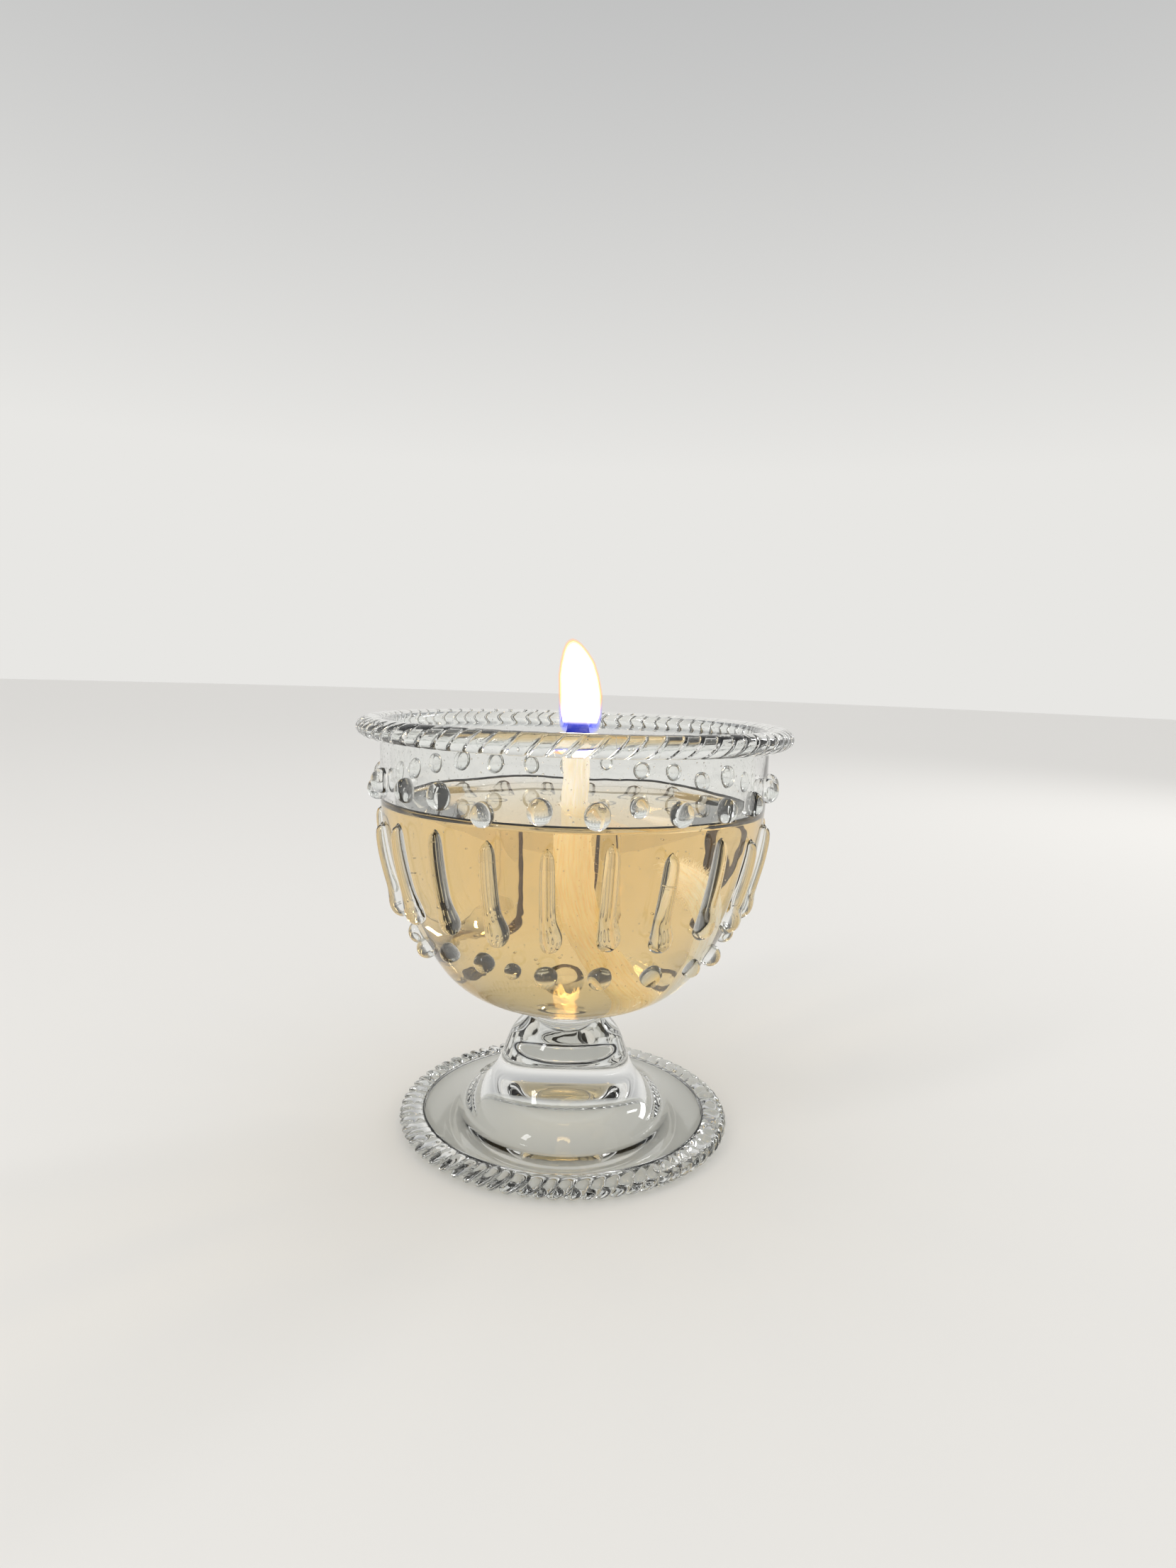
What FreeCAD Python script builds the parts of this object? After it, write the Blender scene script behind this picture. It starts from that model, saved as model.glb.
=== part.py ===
import FreeCAD, Part
import math
import os

import Sketcher
from FreeCAD import Vector

# Pedestal diya lamp: worked clear glass, filled with oil, with a cotton wick and its flame.
# The foot's seat lies on Z = 0, the glass is turned about Z, and the front faces -Y.

# Driving dimensions, in millimetres and degrees
DIMENSIONS = [
    ("neck_radius", 33.9, "outer radius of the bowl's straight neck"),
    ("wall", 2.2, "glass thickness of the bowl"),
    ("neck_base", 64.0, "height where the neck meets the belly"),
    ("lip_top", 73.4, "height of the fire-polished lip"),
    ("seat_gap", 0.05, "room between the bowl's wall and the glass that is set on it"),
    ("bowl_base", 22.7, "height of the bowl's outer bottom on the axis"),
    ("belly_arc", 58.7, "radius of the belly's outline"),
    ("shoulder_arc", 16.2, "radius of the outline low on the bowl"),
    ("base_arc", 76.0, "radius of the bowl's nearly flat bottom"),
    ("rim_rope_width", 4.1, "how far the rim's rope stands out from the neck"),
    ("rim_rope_thick", 3.6, "height of the rim's rope"),
    ("rim_rope_rise", 0.4, "how far the rim's rope stands above the lip"),
    ("rim_rope_pitch", 3.06, "distance from notch to notch on the rim"),
    ("rim_notch_depth", 0.5, "depth of the notches in the rim's rope"),
    ("neck_bead_depth", 10.9, "how far the row of beads on the neck lies below the lip"),
    ("neck_bead_width", 3.8, "width of a neck bead"),
    ("lower_bead_depth", 37.5, "how far the row of beads under the teardrops lies below the lip"),
    ("lower_bead_width", 3.5, "width of a lower bead"),
    ("bead_stand_off", 0.35, "how far a bead's middle lies outside the wall"),
    ("bead_stray", 1.3, "how far a bead strays up or down from its row"),
    ("drop_depth", 16.2, "how far a teardrop's point lies below the lip"),
    ("drop_length", 16.2, "height of a teardrop from its round end to its point"),
    ("drop_width", 3.7, "width of a teardrop's round end"),
    ("drop_stray", 1.0, "how far a teardrop's point strays from its row"),
    ("collar_radius", 7.5, "outer radius of the ring under the bowl"),
    ("collar_height", 2.5, "how far the ring's underside lies below the bowl"),
    ("collar_edge", 1.45, "radius of the ring's round edge"),
    ("stem_top_radius", 6.6, "radius of the stem under the ring"),
    ("stem_base", 9.0, "height where stem and foot are joined"),
    ("foot_radius", 25.8, "radius of the foot without its rope"),
    ("foot_edge", 2.7, "thickness of the foot's edge"),
    ("foot_rope_width", 4.2, "how far the foot's rope stands out from its edge"),
    ("foot_rope_thick", 3.2, "height of the foot's rope"),
    ("foot_rope_pitch", 2.62, "distance from notch to notch on the foot"),
    ("foot_notch_depth", 0.75, "depth of the notches in the foot's rope"),
    ("hollow_radius", 17.0, "radius of the hollow under the foot"),
    ("hollow_depth", 8.0, "depth of the hollow under the foot"),
    ("oil_level", 58.5, "height of the oil's surface"),
    ("wick_width", 4.6, "diameter of the cotton wick"),
    ("wick_room", 0.3, "room that the oil's solid leaves round the wick"),
    ("tip_length", 3.3, "length of the wick's charred end"),
    ("tip_width", 3.1, "diameter at the top of the charred end"),
    ("flame_height", 17.0, "height of the flame"),
    ("flame_width", 7.8, "largest width of the flame"),
    ("overrun", 1.0, "how far a cutting tool runs past what it cuts"),
]

# Places round the bowl in degrees from the front, positive to the right, for the copies in front.
# The copies behind share the rest of the turn.
DROP_COUNT = 22
DROP_ANGLES = [-54.9, -37.7, -21.6, -6.0, 10.1, 26.4, 42.6, 59.2]
DROP_STRAY_SHARES = [0.3, 0.8, 0.2, -0.4, 0.6, -1.0, 0.6, -0.8]
NECK_BEAD_COUNT = 26
NECK_BEAD_ANGLES = [-66.1, -49.1, -35.7, -22.7, -8.0, 5.9, 16.2, 27.8, 42.8, 55.6, 71.1]
NECK_BEAD_STRAY_SHARES = [0.8, 0.5, 0.5, -1.0, -0.2, -0.5, 0.5, -0.4, -0.4, -0.1, 0.8]
NECK_BEAD_WIDTH_SHARES = [1.0, 0.95, 1.04, 0.96, 1.0, 1.04, 0.78, 1.0, 0.96, 1.0, 1.0]
LOWER_BEAD_COUNT = 22
LOWER_BEAD_ANGLES = [-64.8, -42.7, -28.1, -18.2, -7.2, 10.5, 29.3, 49.7]
LOWER_BEAD_STRAY_SHARES = [-0.7, 1.0, 0.8, 0.2, -0.2, -0.2, -0.5, -0.9]
LOWER_BEAD_WIDTH_SHARES = [1.0, 1.0, 0.98, 0.76, 1.04, 1.06, 1.02, 0.9]
BEAD_HEIGHT_SHARE = 1.1

# Outlines as shares of the sizes that they follow
PEDESTAL_SHARES = [
    (0.0, 1.0), (0.16, 0.82), (0.24, 0.61), (0.345, 0.36), (0.53, 0.155), (0.73, 0.057), (1.0, 0.0),
]
DROP_SHARES = [
    (0.0, 0.34), (0.03, 0.66), (0.12, 1.0), (0.24, 0.84), (0.38, 0.71),
    (0.66, 0.68), (0.88, 0.63), (0.96, 0.42), (1.0, 0.12),
]
DROP_PROUD_SHARE = 0.4
DROP_END_SHARE = 0.35
# For each section of the flame: height, radius and shift to the right
FLAME_SHARES = [
    (0.0, 0.74, 0.08), (0.05, 0.89, 0.10), (0.20, 0.97, 0.11), (0.42, 1.0, 0.09),
    (0.62, 0.93, -0.02), (0.77, 0.79, -0.10), (0.88, 0.57, -0.22), (0.95, 0.33, -0.31),
]
FLAME_TIP_SHIFT_SHARE = -0.35
# For each corner of a rope's section: how far out, how high from its middle, and how far its notch leans
ROPE_SHARES = [
    (0.0, -0.62, 0.0), (0.34, -1.0, -0.46), (0.80, -0.74, -0.28), (1.0, 0.0, 0.0),
    (0.80, 0.74, 0.28), (0.34, 1.0, 0.46), (0.0, 0.62, 0.0),
]

# Route of the wick's middle, from its burning end down to the floor and up the right wall
WICK_ROUTE = [
    Vector(0.3, 0.0, 71.0),
    Vector(0.2, 0.4, 59.4),
    Vector(-0.1, 3.2, 46.9),
    Vector(4.3, 5.8, 36.2),
    Vector(9.2, 1.6, 29.1),
    Vector(13.8, -4.4, 28.7),
    Vector(18.0, -8.8, 33.8),
    Vector(20.4, -9.8, 41.8),
    Vector(17.0, -7.6, 49.3),
    Vector(11.8, -5.4, 52.6),
]
ARC_SHARE = 0.45

UP = Vector(0, 0, 1)
ORIGIN = Vector(0, 0, 0)
FULL_TURN = 360

doc = FreeCAD.newDocument("pedestal_diya_lamp")
sheet = doc.addObject("Spreadsheet::Sheet", "sizes")
for row, (alias, value, note) in enumerate(DIMENSIONS, start=1):
    sheet.set("A%d" % row, note)
    sheet.set("B%d" % row, str(value))
    sheet.setAlias("B%d" % row, alias)
doc.recompute()


def size(alias):
    """A driving dimension, read from the sheet."""
    return float(sheet.get(alias))


def feature(name, shape, placement=FreeCAD.Placement()):
    """A document object for a shape made from the sheet's sizes."""
    made = doc.addObject("Part::Feature", name)
    made.Shape = shape
    made.Placement = placement
    return made


def cut(name, base, tool):
    """What is left of one object outside another."""
    made = doc.addObject("Part::Cut", name)
    made.Base = base
    made.Tool = tool
    return made


def common(name, base, tool):
    """What two objects share."""
    made = doc.addObject("Part::Common", name)
    made.Base = base
    made.Tool = tool
    return made


def cylinder(name, radius, height, base):
    """An upright cylinder on the axis, its sizes bound by formulas."""
    made = doc.addObject("Part::Cylinder", name)
    made.setExpression("Radius", radius)
    made.setExpression("Height", height)
    made.setExpression("Placement.Base.z", base)
    return made


def around(angle, radius, height):
    """A point at an angle from the front, a radius from the axis and a height."""
    turn = math.radians(angle)
    return Vector(radius * math.sin(turn), -radius * math.cos(turn), height)


def full_row(seen, count):
    """The angles seen in front, then evenly shared ones for the copies behind."""
    hidden = count - len(seen)
    step = (seen[0] + FULL_TURN - seen[-1]) / (hidden + 1)
    return seen + [seen[-1] + step * (index + 1) for index in range(hidden)]


def share_for(shares, index):
    """A copy's share from the table, which the copies behind go through again."""
    return shares[index % len(shares)]


# Outline of the bowl: three arcs, each tangent to the next, from the axis up to the neck
def arc_centres():
    """Centres of the base, shoulder and belly arcs, which serve both faces of the wall."""
    base = Vector(0, size("bowl_base") + size("base_arc"), 0)
    belly = Vector(size("neck_radius") - size("belly_arc"), size("neck_base"), 0)
    to_base = size("base_arc") - size("shoulder_arc")
    to_belly = size("belly_arc") - size("shoulder_arc")
    along = belly.sub(base)
    span = along.Length
    reach = (to_base ** 2 - to_belly ** 2 + span ** 2) / (2 * span)
    aside = math.sqrt(to_base ** 2 - reach ** 2)
    along.normalize()
    across = Vector(-along.y, along.x, 0)
    middle = base + along * reach
    shoulder = max(middle + across * aside, middle - across * aside, key=lambda point: point.x)
    return base, shoulder, belly


def wall_radius(height):
    """Outer radius of the bowl at a height above its shoulder."""
    if height >= size("neck_base"):
        return size("neck_radius")
    belly = arc_centres()[2]
    return belly.x + math.sqrt(size("belly_arc") ** 2 - (height - belly.y) ** 2)


def tie(sketch, name, kind, where, value, formula):
    """Adds a named dimension to a sketch and ties it to the sheet."""
    index = sketch.addConstraint(Sketcher.Constraint(kind, *where, value))
    sketch.renameConstraint(index, name)
    sketch.setExpression("Constraints." + name, formula)


def draw_bowl_arcs(sketch, side, inset, more, less):
    """Adds the three arcs for one face of the wall and ties their sizes to the sheet."""
    base, shoulder, belly = arc_centres()
    low = math.atan2(shoulder.y - base.y, shoulder.x - base.x)
    high = math.atan2(shoulder.y - belly.y, shoulder.x - belly.x)
    rows = [
        ("base_arc", base, -math.pi / 2, low),
        ("shoulder_arc", shoulder, low, high),
        ("belly_arc", belly, high, 0),
    ]
    arcs = []
    for alias, centre, start, end in rows:
        circle = Part.Circle(centre, UP, size(alias) - inset)
        arc = sketch.addGeometry(Part.ArcOfCircle(circle, start, end), False)
        tie(sketch, side + alias, "Radius", (arc,), size(alias) - inset, "sizes." + alias + less)
        arcs.append(arc)
    sketch.addConstraint(Sketcher.Constraint("PointOnObject", arcs[0], 3, -2))
    sketch.addConstraint(Sketcher.Constraint("PointOnObject", arcs[0], 1, -2))
    sketch.addConstraint(Sketcher.Constraint("Tangent", arcs[0], 2, arcs[1], 1))
    sketch.addConstraint(Sketcher.Constraint("Tangent", arcs[1], 2, arcs[2], 1))
    bottom = size("bowl_base") + inset
    tie(sketch, side + "bottom", "DistanceY", (-1, 1, arcs[0], 1), bottom, "sizes.bowl_base" + more)
    tie(sketch, side + "top", "DistanceY", (-1, 1, arcs[2], 2), size("neck_base"), "sizes.neck_base")
    return arcs


def body_with_sketch(name):
    """A body with a sketch on its own upright plane."""
    body = doc.addObject("PartDesign::Body", name)
    sketch = body.newObject("Sketcher::SketchObject", name + "_outline")
    plane = [item for item in body.Origin.OriginFeatures if item.Role == "XZ_Plane"][0]
    sketch.AttachmentSupport = [(plane, "")]
    sketch.MapMode = "FlatFace"
    return body, sketch


def turn_outline(body, sketch):
    """Turns a body's closed outline a full turn about the upright axis."""
    turned = body.newObject("PartDesign::Revolution", body.Name + "_turned")
    turned.Profile = sketch
    turned.ReferenceAxis = (sketch, ["V_Axis"])
    turned.Angle = FULL_TURN
    return body


def line(sketch, start, end):
    """Adds a straight line to a sketch."""
    return sketch.addGeometry(Part.LineSegment(start, end), False)


# Bowl with a straight neck and a rounded lip
def make_glass_bowl():
    body, sketch = body_with_sketch("glass_bowl")
    wall = size("wall")
    radius = size("neck_radius")
    lip = size("lip_top") - wall / 2
    outer = draw_bowl_arcs(sketch, "outer_", 0, "", "")
    inner = draw_bowl_arcs(sketch, "inner_", wall, " + sizes.wall", " - sizes.wall")
    outside = line(sketch, Vector(radius, size("neck_base"), 0), Vector(radius, lip, 0))
    rounding = Part.Circle(Vector(radius - wall / 2, lip, 0), UP, wall / 2)
    edge = sketch.addGeometry(Part.ArcOfCircle(rounding, 0, math.pi), False)
    inside = line(sketch, Vector(radius - wall, lip, 0), Vector(radius - wall, size("neck_base"), 0))
    bottom = size("bowl_base")
    closing = line(sketch, Vector(0, bottom + wall, 0), Vector(0, bottom, 0))
    for first, first_end, second, second_end in (
        (outer[2], 2, outside, 1),
        (outside, 2, edge, 1),
        (edge, 2, inside, 1),
        (inside, 2, inner[2], 2),
    ):
        sketch.addConstraint(Sketcher.Constraint("Tangent", first, first_end, second, second_end))
    sketch.addConstraint(Sketcher.Constraint("Coincident", closing, 1, inner[0], 1))
    sketch.addConstraint(Sketcher.Constraint("Coincident", closing, 2, outer[0], 1))
    sketch.addConstraint(Sketcher.Constraint("Vertical", outside))
    tie(sketch, "neck", "DistanceX", (-1, 1, outside, 1), radius, "sizes.neck_radius")
    tie(sketch, "lip", "DistanceY", (-1, 1, edge, 3), lip, "sizes.lip_top - sizes.wall / 2")
    tie(sketch, "thickness", "DistanceX", (inside, 1, outside, 2), wall, "sizes.wall")
    return turn_outline(body, sketch)


# A plug of the bowl's shape, moved in or out from its outer face: what it holds, or what rests on it
def make_plug(name, inset, more, less):
    """A solid inside the bowl's outer face moved in by the inset, up to the lip's height."""
    body, sketch = body_with_sketch(name)
    radius = size("neck_radius") - inset
    top = size("lip_top")
    base = size("neck_base")
    arcs = draw_bowl_arcs(sketch, "plug_", inset, more, less)
    side = line(sketch, Vector(radius, base, 0), Vector(radius, top, 0))
    cover = line(sketch, Vector(radius, top, 0), Vector(0, top, 0))
    closing = line(sketch, Vector(0, top, 0), Vector(0, size("bowl_base") + inset, 0))
    sketch.addConstraint(Sketcher.Constraint("Tangent", arcs[2], 2, side, 1))
    sketch.addConstraint(Sketcher.Constraint("Vertical", side))
    sketch.addConstraint(Sketcher.Constraint("Coincident", side, 2, cover, 1))
    sketch.addConstraint(Sketcher.Constraint("Horizontal", cover))
    sketch.addConstraint(Sketcher.Constraint("Coincident", cover, 2, closing, 1))
    sketch.addConstraint(Sketcher.Constraint("Coincident", closing, 2, arcs[0], 1))
    sketch.addConstraint(Sketcher.Constraint("PointOnObject", closing, 1, -2))
    tie(sketch, "neck", "DistanceX", (-1, 1, side, 1), radius, "sizes.neck_radius" + less)
    tie(sketch, "height", "DistanceY", (-1, 1, side, 2), top, "sizes.lip_top")
    return turn_outline(body, sketch)


# Oil: what the bowl holds below the oil's surface, less room for the wick that stands in it
def make_oil():
    hollow = make_plug("bowl_hollow", size("wall"), " + sizes.wall", " - sizes.wall")
    below = cylinder("below_surface", "sizes.neck_radius", "sizes.oil_level", "0 mm")
    filled = common("oil_with_no_wick", hollow, below)
    room = size("wick_room")
    tube = wick_tube(wick_path(room)[0], size("wick_width") / 2 + room)
    return cut("oil_fill", filled, feature("room_for_wick", tube))


# A glass rope laid round a wall: notched lobes that lean like the strands of a twisted rope
def rope_ring(inner, width, thick, middle, pitch, notch):
    """A closed ring of flat facets, with two stations for each lobe, a crest and a notch."""
    lobes = round(2 * math.pi * (inner + width) / pitch)
    stations = 2 * lobes
    step = 2 * math.pi / stations
    seat = inner / math.cos(step / 2)
    rings = []
    for station in range(stations):
        depth = notch if station % 2 else 0
        ring = []
        for out, up, lean in ROPE_SHARES:
            turn = (station + 2 * lean) * step
            if out:
                reach = math.hypot(out * width, up * thick / 2)
                keep = 1 - depth / reach
                radius = inner + out * width * keep
            else:
                keep = 1
                radius = seat
            height = middle + up * keep * thick / 2
            ring.append(Vector(radius * math.cos(turn), radius * math.sin(turn), height))
        rings.append(ring)
    faces = []
    for station in range(stations):
        here = rings[station]
        ahead = rings[(station + 1) % stations]
        for corner in range(len(ROPE_SHARES)):
            after = (corner + 1) % len(ROPE_SHARES)
            faces.append((here[corner], ahead[corner], ahead[after]))
            faces.append((here[corner], ahead[after], here[after]))
    shell = Part.makeShell([Part.Face(Part.makePolygon([a, b, c, a])) for a, b, c in faces])
    shell.sewShape()
    solid = Part.makeSolid(shell)
    if solid.Volume < 0:
        solid.reverse()
    print("rope of", lobes, "lobes and", len(faces), "facets")
    return solid


def make_rim_rope():
    middle = size("lip_top") + size("rim_rope_rise") - size("rim_rope_thick") / 2
    ring = rope_ring(
        size("neck_radius"), size("rim_rope_width"), size("rim_rope_thick"), middle,
        size("rim_rope_pitch"), size("rim_notch_depth"),
    )
    return feature("rim_rope", ring)


def make_foot_rope():
    middle = size("foot_rope_thick") / 2
    ring = rope_ring(
        size("foot_radius"), size("foot_rope_width"), size("foot_rope_thick"), middle,
        size("foot_rope_pitch"), size("foot_notch_depth"),
    )
    return feature("foot_rope", ring)


# Beads: slightly tall balls of glass, set on the wall and cut to it
def make_beads(name, seat, row, angles, strays, widths, count):
    height = size("lip_top") - size(row + "_depth")
    balls = []
    for index, angle in enumerate(full_row(angles, count)):
        level = height + size("bead_stray") * share_for(strays, index)
        radius = size(row + "_width") / 2 * share_for(widths, index)
        ball = Part.makeSphere(radius)
        tall = FreeCAD.Matrix()
        tall.scale(Vector(1, 1, BEAD_HEIGHT_SHARE))
        ball = ball.transformGeometry(tall)
        ball.rotate(ORIGIN, UP, angle - FULL_TURN / 4)
        ball.translate(around(angle, wall_radius(level) + size("bead_stand_off"), level))
        balls.append(ball)
    whole = feature(name + "_whole", Part.makeCompound(balls))
    return cut(name, whole, seat)


# Teardrops: drawn-out drops of glass, laid along the wall, with a point above and a round end below
def make_drop(name, angle, stray):
    """A drop lofted through circles that stand square to the belly's outline."""
    belly = arc_centres()[2]
    arc = size("belly_arc")
    top = size("lip_top") - size("drop_depth")
    low = math.asin((top - size("drop_length") + stray / 2 - belly.y) / arc)
    high = math.asin((top + stray - belly.y) / arc)
    half = size("drop_width") / 2
    sections = []
    for along, out in DROP_SHARES:
        turn = low + (high - low) * along
        reach = arc + half * DROP_PROUD_SHARE * max(out, DROP_END_SHARE)
        middle = Vector(belly.x + reach * math.cos(turn), 0, belly.y + reach * math.sin(turn))
        square = Vector(-math.sin(turn), 0, math.cos(turn))
        sections.append(Part.Wire([Part.Circle(middle, square, out * half).toShape()]))
    place = FreeCAD.Placement(ORIGIN, FreeCAD.Rotation(UP, angle - FULL_TURN / 4))
    return feature(name, Part.makeLoft(sections, True, False), place)


def make_teardrops(seat):
    made = []
    for index, angle in enumerate(full_row(DROP_ANGLES, DROP_COUNT)):
        stray = size("drop_stray") * share_for(DROP_STRAY_SHARES, index)
        name = "teardrop_%02d" % (index + 1)
        whole = make_drop(name + "_whole", angle, stray)
        made.append(cut(name, whole, seat))
    return made


# Ring between bowl and stem, its top face cut to the bowl
def make_collar(seat):
    inner = "sizes.collar_radius - sizes.collar_edge"
    base = "(sizes.bowl_base - sizes.collar_height)"
    core = cylinder("collar_core", inner, "2 * sizes.collar_edge", base)
    edge = doc.addObject("Part::Torus", "collar_rounding")
    edge.setExpression("Radius1", inner)
    edge.setExpression("Radius2", "sizes.collar_edge")
    edge.setExpression("Placement.Base.z", base + " + sizes.collar_edge")
    whole = doc.addObject("Part::Fuse", "collar_whole")
    whole.Base = core
    whole.Tool = edge
    return cut("stem_collar", whole, seat)


# Pedestal: one smooth outline from the ring down to the foot's edge, parted where stem and foot join
def make_pedestal():
    narrow = size("stem_top_radius")
    wide = size("foot_radius")
    high = size("bowl_base") - size("collar_height")
    low = size("foot_edge")
    points = [
        Vector(narrow + out * (wide - narrow), 0, low + up * (high - low))
        for out, up in PEDESTAL_SHARES
    ]
    curve = Part.BSplineCurve()
    curve.interpolate(points)
    corners = [points[-1], Vector(wide, 0, 0), ORIGIN, Vector(0, 0, high), points[0]]
    sides = [Part.LineSegment(start, end).toShape() for start, end in zip(corners, corners[1:])]
    outline = Part.Wire([curve.toShape()] + sides)
    return feature("pedestal", Part.Face(outline).revolve(ORIGIN, UP, FULL_TURN))


# Stem: the trumpet above the join
def make_stem(pedestal):
    above = cylinder("above_join", "sizes.foot_radius", "sizes.bowl_base", "sizes.stem_base")
    return common("stem", pedestal, above)


# Foot: the thin disc below the join, with a flat seat round a shallow hollow
def make_foot_disc(pedestal):
    below = cylinder("below_join", "sizes.foot_radius + sizes.overrun", "sizes.stem_base", "0 mm")
    whole = common("foot_with_no_hollow", pedestal, below)
    ball = doc.addObject("Part::Sphere", "foot_hollow")
    radius = "(sizes.hollow_radius ^ 2 / sizes.hollow_depth + sizes.hollow_depth) / 2"
    ball.setExpression("Radius", radius)
    ball.setExpression("Placement.Base.z", "sizes.hollow_depth - " + radius)
    return cut("foot_disc", whole, ball)


# Wick: a tube along straight runs joined by tangent arcs
def wick_path(extra):
    """The route with each arc as large as its two runs allow, its last run made longer by the extra."""
    edges = []
    radii = []
    last = WICK_ROUTE[0]
    for before, corner, after in zip(WICK_ROUTE, WICK_ROUTE[1:], WICK_ROUTE[2:]):
        back = before.sub(corner)
        ahead = after.sub(corner)
        trim = ARC_SHARE * min(back.Length, ahead.Length)
        turn = math.pi - back.getAngle(ahead)
        radius = trim / math.tan(turn / 2)
        back.normalize()
        ahead.normalize()
        start = corner + back * trim
        end = corner + ahead * trim
        inward = (back + ahead).normalize()
        middle = corner + inward * (math.hypot(radius, trim) - radius)
        edges.append(Part.LineSegment(last, start).toShape())
        edges.append(Part.Arc(start, middle, end).toShape())
        radii.append(radius)
        last = end
    along = WICK_ROUTE[-1].sub(WICK_ROUTE[-2]).normalize()
    edges.append(Part.LineSegment(last, WICK_ROUTE[-1] + along * extra).toShape())
    return Part.Wire(edges), radii


def wick_tube(path, radius):
    """A solid tube along a path that starts at the wick's burning end."""
    start = WICK_ROUTE[0]
    section = Part.Wire([Part.Circle(start, WICK_ROUTE[1].sub(start), radius).toShape()])
    return path.makePipeShell([section], True, False)


def make_wick():
    path, radii = wick_path(0)
    half = size("wick_width") / 2
    tube = wick_tube(path, half)
    print("wick radii", [round(radius, 1) for radius in radii])
    plain = math.pi * half ** 2 * path.Length
    print("wick length", round(path.Length, 1), "volume", round(tube.Volume, 1), "against", round(plain, 1))
    return feature("wick", tube)


def tip_solid():
    """The charred end: a short cone with a rounded top, standing on the cotton."""
    wide = size("wick_width") / 2
    narrow = size("tip_width") / 2
    base = WICK_ROUTE[0]
    along = base.sub(WICK_ROUTE[1]).normalize()
    length = size("tip_length")
    cone = Part.makeCone(wide, narrow, length, base, along)
    rim = [edge for edge in cone.Edges if edge.BoundBox.ZMin > base.z + length / 2 and edge.Closed]
    return cone.makeFillet(narrow / 2, rim)


# Flame: a leaning drop of burning gas round the charred end
def make_flame(wick, tip):
    base = WICK_ROUTE[0]
    height = size("flame_height")
    half = size("flame_width") / 2
    circles = []
    for up, out, shift in FLAME_SHARES:
        middle = Vector(base.x + shift * half, base.y, base.z + up * height)
        circles.append(Part.Wire([Part.Circle(middle, UP, out * half).toShape()]))
    point = Vector(base.x + FLAME_TIP_SHIFT_SHARE * half, base.y, base.z + height)
    circles.append(Part.Vertex(point))
    whole = feature("flame_whole", Part.makeLoft(circles, True, False))
    return cut("flame", cut("flame_round_tip", whole, tip), wick)


glass_bowl = make_glass_bowl()
seat = make_plug("bowl_seat", -size("seat_gap"), " - sizes.seat_gap", " + sizes.seat_gap")
doc.recompute()
pedestal = make_pedestal()
wick = make_wick()
wick_burnt_tip = feature("wick_burnt_tip", tip_solid())
pieces = [
    glass_bowl,
    make_rim_rope(),
    make_beads(
        "neck_beads", seat, "neck_bead", NECK_BEAD_ANGLES, NECK_BEAD_STRAY_SHARES,
        NECK_BEAD_WIDTH_SHARES, NECK_BEAD_COUNT,
    ),
    make_beads(
        "lower_beads", seat, "lower_bead", LOWER_BEAD_ANGLES, LOWER_BEAD_STRAY_SHARES,
        LOWER_BEAD_WIDTH_SHARES, LOWER_BEAD_COUNT,
    ),
    make_collar(seat),
    make_stem(pedestal),
    make_foot_disc(pedestal),
    make_foot_rope(),
    make_oil(),
    wick,
    wick_burnt_tip,
    make_flame(wick, wick_burnt_tip),
] + make_teardrops(seat)

for piece in pieces:
    piece.Label = piece.Name
doc.recompute()

for item in doc.Objects:
    if "Invalid" in item.State or "Error" in item.State:
        raise RuntimeError("not made: " + item.Name)
for piece in pieces:
    if piece.Shape.isNull() or not piece.Shape.isValid():
        raise RuntimeError("not a sound shape: " + piece.Label)

os.makedirs("parts", exist_ok=True)
for piece in pieces:
    piece.Shape.exportStep("parts/" + piece.Label + ".step")
    print(piece.Label, len(piece.Shape.Solids), "solids", round(piece.Shape.Volume, 1), "mm3")
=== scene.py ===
# %% [markdown]
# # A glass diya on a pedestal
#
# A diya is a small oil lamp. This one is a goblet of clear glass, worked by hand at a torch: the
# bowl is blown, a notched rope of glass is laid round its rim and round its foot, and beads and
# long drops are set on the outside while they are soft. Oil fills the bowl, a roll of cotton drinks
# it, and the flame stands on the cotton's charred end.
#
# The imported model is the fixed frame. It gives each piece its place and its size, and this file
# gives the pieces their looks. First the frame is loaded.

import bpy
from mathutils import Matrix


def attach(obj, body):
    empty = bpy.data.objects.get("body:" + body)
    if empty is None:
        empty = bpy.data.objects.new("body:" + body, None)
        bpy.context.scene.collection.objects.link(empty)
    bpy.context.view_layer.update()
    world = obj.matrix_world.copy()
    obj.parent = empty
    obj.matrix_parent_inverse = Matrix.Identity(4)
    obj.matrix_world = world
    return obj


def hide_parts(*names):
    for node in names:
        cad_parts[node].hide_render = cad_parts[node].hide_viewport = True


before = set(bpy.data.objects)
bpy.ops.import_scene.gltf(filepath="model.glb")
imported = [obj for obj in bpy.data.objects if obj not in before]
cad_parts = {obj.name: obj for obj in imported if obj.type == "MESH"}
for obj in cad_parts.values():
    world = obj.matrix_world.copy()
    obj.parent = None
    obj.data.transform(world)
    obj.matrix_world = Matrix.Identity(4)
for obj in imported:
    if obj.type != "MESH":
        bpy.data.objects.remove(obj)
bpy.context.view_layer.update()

# %% Modules and the unit of length
import math

import bpy
import numpy as np
from mathutils import Matrix, Vector, noise

MM = 0.001
HALF_TURN, FULL_TURN = math.pi, 2 * math.pi
print("one millimetre is", MM, "of Blender's metres")

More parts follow.
